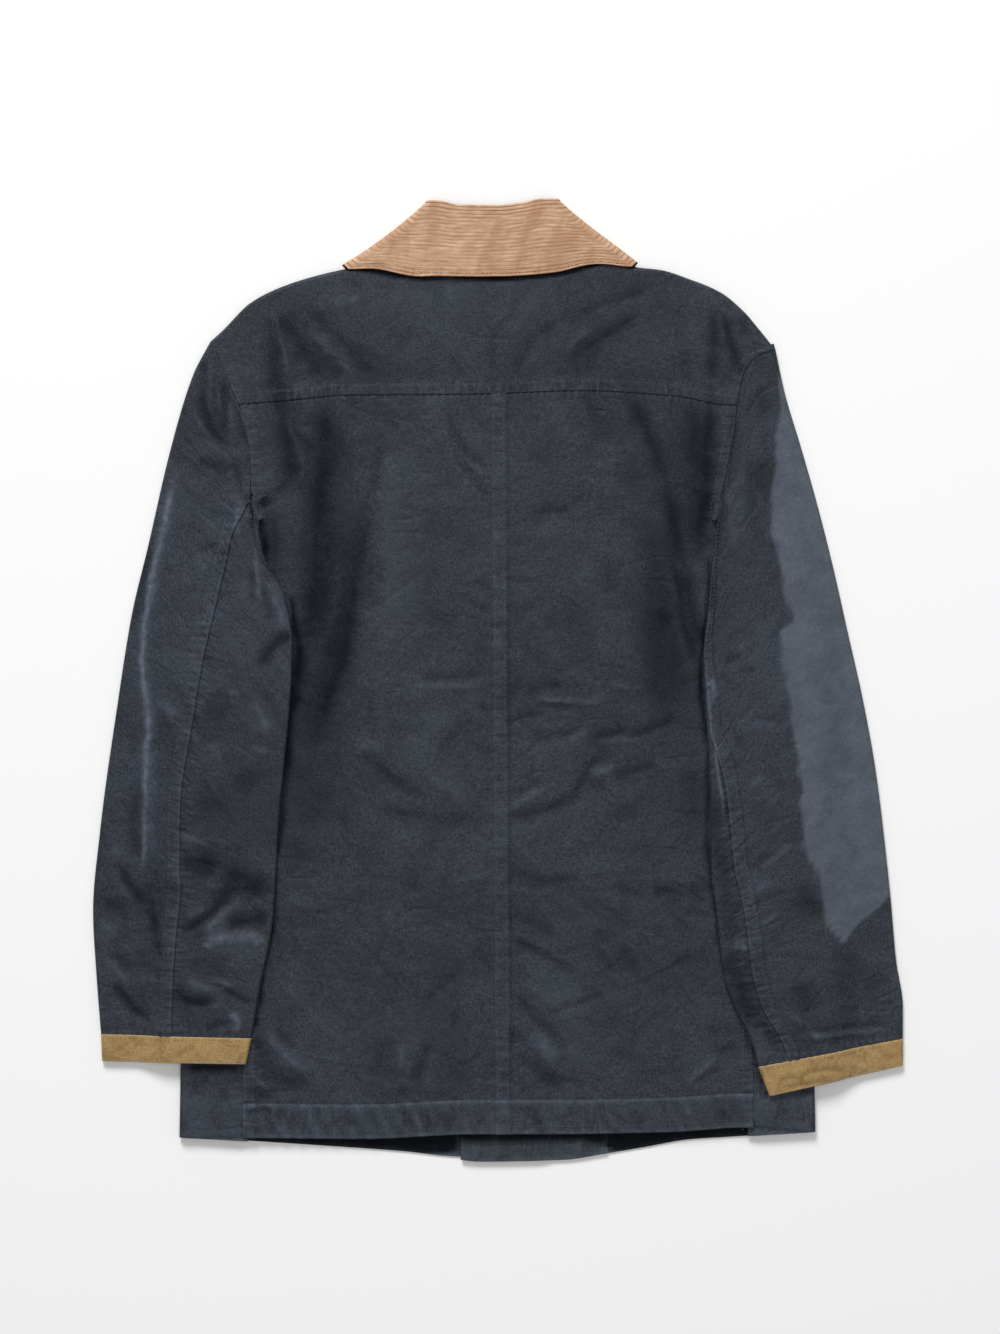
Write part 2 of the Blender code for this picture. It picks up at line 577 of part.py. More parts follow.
def collar_grid(share, depth):
    """Points of the collar fall at a depth below its outer side.

    Rows go from the roll to the lower edge. Columns go from the left wing's front end,
    round the left fold, across the back and round to the right wing's front end.
    """
    bend = COLLAR_TOP / 2
    side_point = {side: along(COLLAR_SIDE[side], share[:, 0])[:, None, :] for side in (-1, 1)}
    wing_end = {side: along(WING_FRONT[side], share[:, 0])[:, None, :] for side in (-1, 1)}
    legs = {}
    for side in (-1, 1):
        step = np.linspace(0, 1, WING_COLUMNS + 1)[None, :-1, None]
        fold = side_point[side] - np.array([side * bend, bend * 0.6])
        plan = wing_end[side] + (fold - wing_end[side]) * step
        leg = np.concatenate([plan, depth[..., None] + 0 * plan[..., :1]], axis=-1)
        angle = np.linspace(-np.pi / 2, np.pi / 2, 7)[None, :]
        reach = (bend - depth) * np.cos(angle)
        out = np.array([side * 0.7, 0.7])
        cap_plan = fold + reach[..., None] * out * 1.2
        cap_z = bend + (bend - depth) * np.sin(angle)
        cap = np.concatenate([cap_plan, cap_z[..., None]], axis=-1)
        legs[side] = np.concatenate([leg, cap], axis=1)
    step = np.linspace(0, 1, COLLAR_COLUMNS + 1)[None, 1:-1]
    start, end = legs[-1][:, -1:], legs[1][:, -1:]
    x = start[..., 0] + (end[..., 0] - start[..., 0]) * step
    y = y_at(COLLAR_ROLL, x) * (1 - share) + y_at(COLLAR_EDGE, x) * share
    blend = smoothstep(np.minimum(step, 1 - step) / 0.22)
    straight = start[..., 1] + (end[..., 1] - start[..., 1]) * step
    y = straight * (1 - blend) + y * blend
    top = np.stack([x, y, COLLAR_TOP - depth + 0 * x], axis=-1)
    return np.concatenate([legs[-1], top, legs[1][:, ::-1]], axis=1)


def collar_fall(name, finish):
    """The collar fall in corduroy, its wales raised on the outer side."""
    share = np.linspace(0.0, 1.0, 2 * WALES + 1)[:, None]
    depth = np.where(np.arange(2 * WALES + 1) % 2, 0.0, WALE_DEPTH)[:, None]
    outer = collar_grid(share, depth)
    inner_share = np.linspace(0.0, 1.0, 5)[:, None]
    inner = collar_grid(inner_share, np.full((5, 1), CORDUROY))
    return ribbed_wall(name, outer, inner, finish)


def collar_stand(name, finish):
    """The stand: a band inside the neck, from the roll to the neck seam."""
    share = np.linspace(0.0, 1.0, 4)[:, None]
    low = NECK_RAISE
    high = COLLAR_TOP - CORDUROY - LAYER
    bend = (high - low) / 2
    legs = {}
    (roll_x, roll_y), (neck_x, neck_y) = STAND_FOLD
    for side in (-1, 1):
        fold_x = side * (roll_x + (neck_x - roll_x) * share)
        fold_y = roll_y + (neck_y - roll_y) * share
        step = np.linspace(0, 1, WING_COLUMNS + 1)[None, :-1]
        start_x = fold_x - side * bend
        x = side * WING_END_X + (start_x - side * WING_END_X) * step
        above = 2.0 + STAND_FRONT * (1 - share)
        rise = fold_y - y_at(FRONT_NECK, start_x) - above
        y = y_at(FRONT_NECK, x) + above + rise * step ** 2
        z = low + 0 * x
        angle = np.linspace(-np.pi / 2, np.pi / 2, 7)[None, :]
        cap_x = start_x + side * bend * np.cos(angle)
        cap_y = fold_y + 0 * cap_x
        cap_z = low + bend + bend * np.sin(angle) + 0 * cap_x
        legs[side] = np.concatenate([np.stack([x, y, z], axis=-1),
                                     np.stack([cap_x, cap_y, cap_z], axis=-1)], axis=1)
    start, end = legs[-1][:, -1:], legs[1][:, -1:]
    step = np.linspace(0, 1, 8)[None, 1:-1]
    x = start[..., 0] + (end[..., 0] - start[..., 0]) * step
    y = (y_at(SHOULDER, x) + SEAM + 0.4) * share + (y_at(COLLAR_ROLL, x) - 3.0) * (1 - share)
    top = np.stack([x, y, high + 0 * x], axis=-1)
    points = np.concatenate([legs[-1], top, legs[1][:, ::-1]], axis=1)
    return cloth(name, points, finish, CLOTH, flip=True)


COLLECTION = "waxed_cotton_jacket"


def build():
    for old in list(bpy.data.objects):
        bpy.data.objects.remove(old)
    bpy.context.scene.collection.children.link(bpy.data.collections.new(COLLECTION))
    waxed = material("waxed_cotton", (0.038, 0.046, 0.056), 0.55)
    corduroy = material("corduroy", (0.52, 0.33, 0.21), 0.9)
    canvas = material("cuff_canvas", (0.27, 0.18, 0.08), 0.75)
    for side, word in ((-1, "left"), (1, "right")):
        front_panel("front_" + word, side, waxed)
        back_panel("back_" + word, side, waxed)
        sleeve_upper("sleeve_" + word + "_upper", side, waxed)
        sleeve_under("sleeve_" + word + "_under", side, waxed)
        cuff_band("cuff_" + word, side, canvas)
    facing_strip("front_facing", waxed)
    yoke_panel("yoke", waxed)
    collar_fall("collar_fall", corduroy)
    collar_stand("collar_stand", waxed)


build()
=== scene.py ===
"""Looks of a waxed cotton jacket that lies flat with its back up.

Lengths in the tables are millimetres and MM turns them into metres. +X runs across the
jacket, +Y from the hem to the collar and +Z up from the surface. The wearer's left is at
-X. Each piece is a grid of points on its outer side, given by a formula, and Solidify
gives it its thickness.
"""

import bpy
import numpy as np
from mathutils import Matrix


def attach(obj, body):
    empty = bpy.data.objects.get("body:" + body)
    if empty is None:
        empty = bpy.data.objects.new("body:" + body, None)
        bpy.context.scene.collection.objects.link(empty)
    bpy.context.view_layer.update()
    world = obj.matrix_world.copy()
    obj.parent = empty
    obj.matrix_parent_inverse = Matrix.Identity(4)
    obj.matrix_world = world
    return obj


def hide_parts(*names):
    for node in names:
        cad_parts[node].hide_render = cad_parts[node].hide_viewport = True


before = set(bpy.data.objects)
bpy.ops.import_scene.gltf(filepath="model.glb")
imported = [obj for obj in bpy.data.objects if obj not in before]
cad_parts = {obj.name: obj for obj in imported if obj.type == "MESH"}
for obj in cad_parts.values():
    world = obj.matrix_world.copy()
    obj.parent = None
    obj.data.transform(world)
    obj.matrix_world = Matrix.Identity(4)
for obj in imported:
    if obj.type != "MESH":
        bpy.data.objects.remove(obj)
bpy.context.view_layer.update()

bl_info = {
    "name": "Waxed cotton jacket",
    "version": (1, 0, 0),
    "blender": (4, 5, 0),
    "location": "View3D > Sidebar > Jacket",
    "description": "Sewn shells, seams, stitching and finishes of a waxed cotton jacket",
    "category": "Object",
}

MM = 0.001

# ---------------------------------------------------------------- form, in millimetres

CLOTH = 1.2              # waxed cotton
LAYER = 0.3              # room between two layers that lie on each other
BODY_HEIGHT = 6.2        # top of the back over the surface
BACK_TOP = BODY_HEIGHT + 0.8   # top of the back's cloth, before its folds
SLEEVE_HEAD = 6.2        # height of a sleeve at the armhole
SLEEVE_HEIGHT = 5.2      # height of a sleeve below it
SLEEVE_SEAT = BACK_TOP - 0.6   # height of a sleeve's top under the body's edge
CUFF_HEIGHT = 5.6        # a cuff stands a little over its sleeve
LEDGE = 11.0             # a sleeve runs on level past the body's fold by this much
DRAPE = 32.0             # then it falls to the surface over this reach
LOW_Y = -400.0           # level of the hems, before they curve
YOKE_Y = 245.0           # level of the yoke's seam
FRONT_TOP_Y = 272.0
UNDERARM_Y = 140.0
WRAP_END_Y = 100.0       # the fronts wrap round the side up to here
SIDE_SEAM_X = 222.6
BACK_EDGE_X = SIDE_SEAM_X + 1.5
LAP = 32.0               # each front passes the centre by this much
LAP_STEP = (36.0, 48.0)  # the inner front climbs over the outer one between these
FACING_X = 96.0          # inner edge of the facing
SHOULDER_TURN = 25.0     # how far the yoke runs on to the front
NECK_HALF = 80.0         # half the width of the neck opening
UNDERARM_LIFT = 3.3      # the fronts are lifted at the underarms
LIFT_REACH = 20.0        # within about this distance
CENTRE_SEAM = (0.0, 4.0)   # x of the centre back seam at the yoke and at the hem
NECK_RAISE = 2.3         # the fronts lie on the collar's wings
NECK_TOP_RAISE = 2.6     # and lift the yoke over them
NECK_REACH = 172.0       # to both sides this far,
NECK_SLOPE = 30.0        # falling off over this
COLLAR_TOP = 11.3        # height of the collar over the surface
COLLAR_DEPTH = 64.0      # from the roll to the lower edge
COLLAR_TURN = 2.2        # radius of the roll
COLLAR_SEAM = 4.4        # the stitches over the lower edge
COLLAR_COLUMNS = (14, 9, 120)   # in a wing, round a fold and across the back
CORDUROY = 2.0
WALES = 19               # cords between the roll and the lower edge
STAND_FOLD = ((54.0, 412.0), (72.0, 386.0))   # the stand's side fold, at roll and neck seam
STAND_FRONT = 14.0       # depth of the stand at its front ends
WING_END_X = 5.0
HEM_BAND = 30.0          # depth of the turned hem
YOKE_BAND = 9.5          # width of the thicker band beside a seam: at the yoke,
ARM_BAND = 8.5           # at the armhole,
SIDE_BAND = 10.0         # at the side,
SLEEVE_BAND = 9.0        # on the sleeve
CENTRE_BAND = 12.5       # and at the centre
CENTRE_LAP = 6.0         # the back's right half laps over the left one by this much
ARM_STITCHES = (2.0, 8.0)               # the rows beside an armhole
BELOW_CUFFS_Y = -300.0   # the side seams show from here down
CUFF_BAND = 23.0         # depth of a cuff
CUFF_TOP = 115           # across a cuff's upper side
SLEEVE_LENGTH = 620.0
TUCK = 5.0               # what a lower layer runs on under the seam's upper layer
FULL_TURN = 6.0          # tube_point counts one turn of a sleeve as this much
FLAT_LENGTH, FOLD_LENGTH = 120.0, 4.1   # millimetres round the tube to one place of it
CUT_ROUND = ((-2, -1, 1, 2, 4, 5, 6), (-124.1, -4.1, 4.1, 124.1, 132.3, 252.3, 256.4))
END_PULL = 8             # how fast the yoke's rows leave its ends' curves
FRONT_ARM_SEAM = 4.30    # place of the sleeves' front seam round the tube
BODY_FAR, SLEEVE_FAR = 50.0, 60.0   # distances at which a seam has no effect
COARSE = 2.7             # the hidden fronts' points lie this many times further apart

# Outlines: rows of (x, y), with -1 for the left side and 1 for the right one
ARMHOLE = {-1: [(-253, 297), (-244, 282), (-235, 258), (-229, 244), (-221, 220), (-217, 187),
                (-217, 151), (-211, 140)],
           1: [(244, 290), (229, 286), (218, 273), (213, 258), (210, 241), (208, 220),
               (204, 199), (200, 178), (193, 140)]}
SIDE_FOLD = {-1: [(-211, 140), (-223, 116), (-249, 84), (-262, 35), (-271, -106), (-277, -238),
                  (-280, -402)],
             1: [(193, 140), (223, 116), (249, 84), (262, 35), (271, -106), (276, -238),
                 (279, -397)]}
SLEEVE_OUTER = {-1: [(-253, 297), (-268, 268), (-287, 206), (-308, 116), (-322, 57), (-334, -18),
                     (-350, -134), (-356, -203), (-353, -260), (-349, -311)],
                1: [(244, 290), (252, 253), (266, 206), (280, 157), (294, 102), (308, 40),
                    (321, -18), (332, -79), (339, -134), (345, -190), (350, -246), (356, -287),
                    (356, -315)]}
SLEEVE_INNER = {-1: [(-211, 140), (-209, 126), (-204, 105), (-187, 74), (-180, 29), (-182, -18),
                     (-187, -71), (-192, -125), (-195, -180), (-198, -217), (-208, -268),
                     (-216, -314)],
                1: [(193, 140), (188, 102), (184, 57), (180, 22), (182, -18), (185, -71),
                    (187, -125), (187, -168), (192, -206), (198, -260), (209, -290),
                    (223, -319), (228, -339)]}
CUFF_END = {-1: [(-348, -335), (-221, -337)], 1: [(356, -339), (238, -365)]}
SHOULDER = [(-253, 297), (-241, 308), (-218, 331), (-196, 343), (-171, 352), (-143, 359),
            (-118, 364), (-88, 377), (-60, 384), (0, 386), (60, 384), (88, 377), (118, 363),
            (143, 360), (169, 352), (195, 341), (216, 324), (228, 310), (244, 290)]
YOKE_SEAM = [(-227, 242), (-178, 246), (-134, 250), (-16, 251), (72, 254), (159, 249),
             (195, 242), (210, 241)]
FRONT_NECK = [(-80, 352), (-60, 340), (-30, 326), (0, 320), (30, 326), (60, 340), (80, 352)]
BACK_HEM = [(-280, -402), (-236, -402), (-121, -403), (-18, -399), (41, -399), (152, -397),
            (216, -393), (279, -397)]
FRONT_HEM = {-1: [(-280, -402), (-241, -404), (-161, -409), (-85, -414.3), (-33, -419.3),
                  (48, -420)],
             1: [(-32, -422), (-16, -423.4), (58, -422), (92, -417), (128, -411), (169, -404),
                 (200, -402), (248, -399), (279, -397)]}
COLLAR_SIDE = {-1: [(-64, 421), (-79, 407), (-93, 395), (-121, 374), (-138, 363)],
               1: [(55, 422.3), (74, 405), (90, 392), (108, 378), (124, 365)]}
COLLAR_EDGE = [(-138, 363), (-117, 361), (-85, 355), (-67, 353), (2, 353), (47, 356), (74, 362),
               (92, 367), (112, 370), (124, 365)]
COLLAR_ROLL = [(-64, 421), (-30, 417), (0, 416.5), (20, 418.6), (42, 423), (55, 422.3)]
WING_FRONT = {-1: [(-5, 338), (-64, 290)], 1: [(5, 338), (64, 290)]}
# Share of the sleeve's length, and place of its back seam round the tube
BACK_ARM_SEAM = {-1: [(0.0, 1.92), (0.1, 1.63), (0.2, 1.48), (0.35, 1.46), (0.5, 1.445),
                      (0.6, 1.43), (0.7, 1.455), (0.78, 1.485), (0.85, 1.48), (1.0, 1.47)],
                 1: [(0.0, 2.60), (0.25, 2.45), (0.4, 2.0), (0.5, 1.92), (0.65, 1.88),
                     (0.8, 1.85), (0.9, 1.865), (1.0, 1.80)]}


def smoothstep(share):
    """0 below 0, 1 above 1 and the cubic S, 3 s s - 2 s s s, between."""
    share = np.clip(share, 0.0, 1.0)
    return share * share * (3.0 - 2.0 * share)


def between(start, end, share):
    """The value at a share of the way from start to end."""
    return start + (end - start) * share


def together(*parts):
    """Arrays of coordinates as one array of points."""
    return np.stack(parts, axis=-1)


def soft_slopes(knots, values):
    """Slope at each knot: the harmonic mean of its neighbours', or 0 at a peak."""
    step = np.diff(values, axis=0) / np.diff(knots).reshape((-1,) + (1,) * (values.ndim - 1))
    product = step[1:] * step[:-1]
    total = np.where(product > 0, step[1:] + step[:-1], 1.0)
    inside = np.where(product > 0, 2 * product / total, 0.0)
    return np.concatenate([step[:1], inside, step[-1:]])


def soft_curve(knots, values, at):
    """Cubic Hermite curve through the values at the knots, which never overshoots them."""
    knots = np.asarray(knots, float)
    values = np.asarray(values, float)
    at = np.clip(at, knots[0], knots[-1])
    slope = soft_slopes(knots, values)
    left = np.clip(np.searchsorted(knots, at, side="right") - 1, 0, len(knots) - 2)
    span = knots[left + 1] - knots[left]
    t = (at - knots[left]) / span
    if values.ndim > 1:
        t, span = t[..., None], span[..., None]
    return ((1 + 2 * t) * (1 - t) ** 2 * values[left] + t * (1 - t) ** 2 * span * slope[left]
            + t * t * (3 - 2 * t) * values[left + 1] - t * t * (1 - t) * span * slope[left + 1])


def y_at(outline, x):
    """y of an outline whose rows run from -X to +X."""
    rows = np.asarray(outline, float)
    return soft_curve(rows[:, 0], rows[:, 1], np.asarray(x, float))


def x_at(outline, y):
    """x of an outline whose rows run down from the collar."""
    rows = np.asarray(outline, float)[::-1]
    return soft_curve(rows[:, 1], rows[:, 0], np.asarray(y, float))


def along(outline, share):
    """Point of an outline at a share of its length."""
    rows = np.asarray(outline, float)
    steps = np.hypot(*np.diff(rows, axis=0).T)
    knots = np.concatenate([[0.0], np.cumsum(steps)]) / steps.sum()
    return soft_curve(knots, rows, np.asarray(share, float))


def shares(length, pitch, lines=()):
    """Places from 0 to 1 over a length, one pitch apart, with closer ones at both ends and on
    both sides of each line, which is given by its distance from the start."""
    close = np.array([0.0, 0.35, 0.9, 1.7, 2.9, 4.6])
    places = [np.linspace(0.0, length, int(round(length / pitch)) + 1), close, length - close]
    for line in lines:
        places += [line - close[:5], line + close[:5]]
    places = np.sort(np.clip(np.concatenate(places), 0.0, length))
    places = places[np.concatenate([[True], np.diff(places) > 0.25])]
    places[-1] = length
    return places / length


def soft_noise(x, y, size, seed):
    """Even noise from -1 to 1: random values on a square lattice of that size, blended by
    the cubic S in both directions."""
    table = np.random.default_rng(seed).uniform(-1.0, 1.0, (64, 64))
    u, v = np.asarray(x, float) / size, np.asarray(y, float) / size
    i, j = np.floor(u).astype(int), np.floor(v).astype(int)
    s, t = smoothstep(u - i), smoothstep(v - j)
    corner = [[table[(i + a) % 64, (j + b) % 64] for b in (0, 1)] for a in (0, 1)]
    low = corner[0][0] * (1 - s) + corner[1][0] * s
    high = corner[0][1] * (1 - s) + corner[1][1] * s
    return low * (1 - t) + high * t


def creases(rows, x, y, depth=1.0):
    """Height of the creases in a table. Each runs along a soft curve through its points.
    Across it the height falls off as a bell, exp(-(away / width) to a power). The power is
    1.35 for a narrow, crisp fold and 2 for a broad one, and the lean makes one side wider
    than the other. Along it the height is full over the middle and fades by the cubic S over
    the first and the last quarter. A soft noise of up to 1.3 mm shifts the place, so that no
    edge is even."""
    x, y = np.broadcast_arrays(np.asarray(x, float), np.asarray(y, float))
    field = np.zeros(x.shape)
    at_x = x + 0.9 * soft_noise(x, y, 15.0, 11) + 0.4 * soft_noise(x, y, 5.0, 12)
    at_y = y + 0.9 * soft_noise(x, y, 15.0, 13) + 0.4 * soft_noise(x, y, 5.0, 14)
    for width, height, *places in rows:
        lean = places.pop(0) if len(places) % 2 else 0.0
        knots = np.array(places, float).reshape(-1, 2)
        t = np.linspace(0.0, 1.0, 3 * len(knots) - 2)
        path_x, path_y = along(knots, t).T
        reach = 2.8 * width * (1 + abs(lean))
        near = ((x > path_x.min() - reach) & (x < path_x.max() + reach)
                & (y > path_y.min() - reach) & (y < path_y.max() + reach))
        if not near.any():
            continue
        px, py = at_x[near][:, None], at_y[near][:, None]
        step_x, step_y = np.diff(path_x), np.diff(path_y)
        on = ((px - path_x[:-1]) * step_x + (py - path_y[:-1]) * step_y)
        on = np.clip(on / (step_x ** 2 + step_y ** 2), 0.0, 1.0)
        off_x = px - path_x[:-1] - on * step_x
        off_y = py - path_y[:-1] - on * step_y
        away = np.hypot(off_x, off_y)
        nearest = np.argmin(away, axis=1)
        pick = (np.arange(len(nearest)), nearest)
        turn = (step_x * off_y - step_y * off_x)[pick]
        wide = 1.05 * width * np.where(turn > 0, 1 + lean, 1 - lean)
        power = 1.35 + 0.65 * smoothstep((width - 9.0) / 9.0)
        place = (nearest + on[pick]) / (len(t) - 1)
        ends = smoothstep(place / 0.25) * smoothstep((1.0 - place) / 0.25)
        field[near] += depth * height * bell(away[pick], wide, power) * ends
    return field


def bell(away, width, power=2):
    """1 at the middle, falling off on both sides: exp(-(away / width) to the power)."""
    return np.exp(-(away / width) ** power)


def rolled(away, radius):
    """Drop of a folded edge: a quarter circle over the last radius before the edge."""
    near = np.clip(1.0 - away / radius, 0.0, 1.0)
    return radius * (1.0 - np.sqrt(1.0 - near * near))


def waves(place, pitch, seed):
    """Puckers that stand across a seam: a sine along it, uneven in pitch and height."""
    uneven = soft_noise(place, 0.0 * place, 3.1 * pitch, seed)
    height = 0.6 + 0.4 * soft_noise(place, 0.0 * place, 5.3 * pitch, seed + 1)
    return height * np.sin(2 * np.pi * place / pitch + 2.2 * uneven)


def ripple(place, away, pitch, reach, seed):
    """Puckers which fade as a bell with the distance from their seam."""
    return waves(place, pitch, seed) * bell(away, reach)
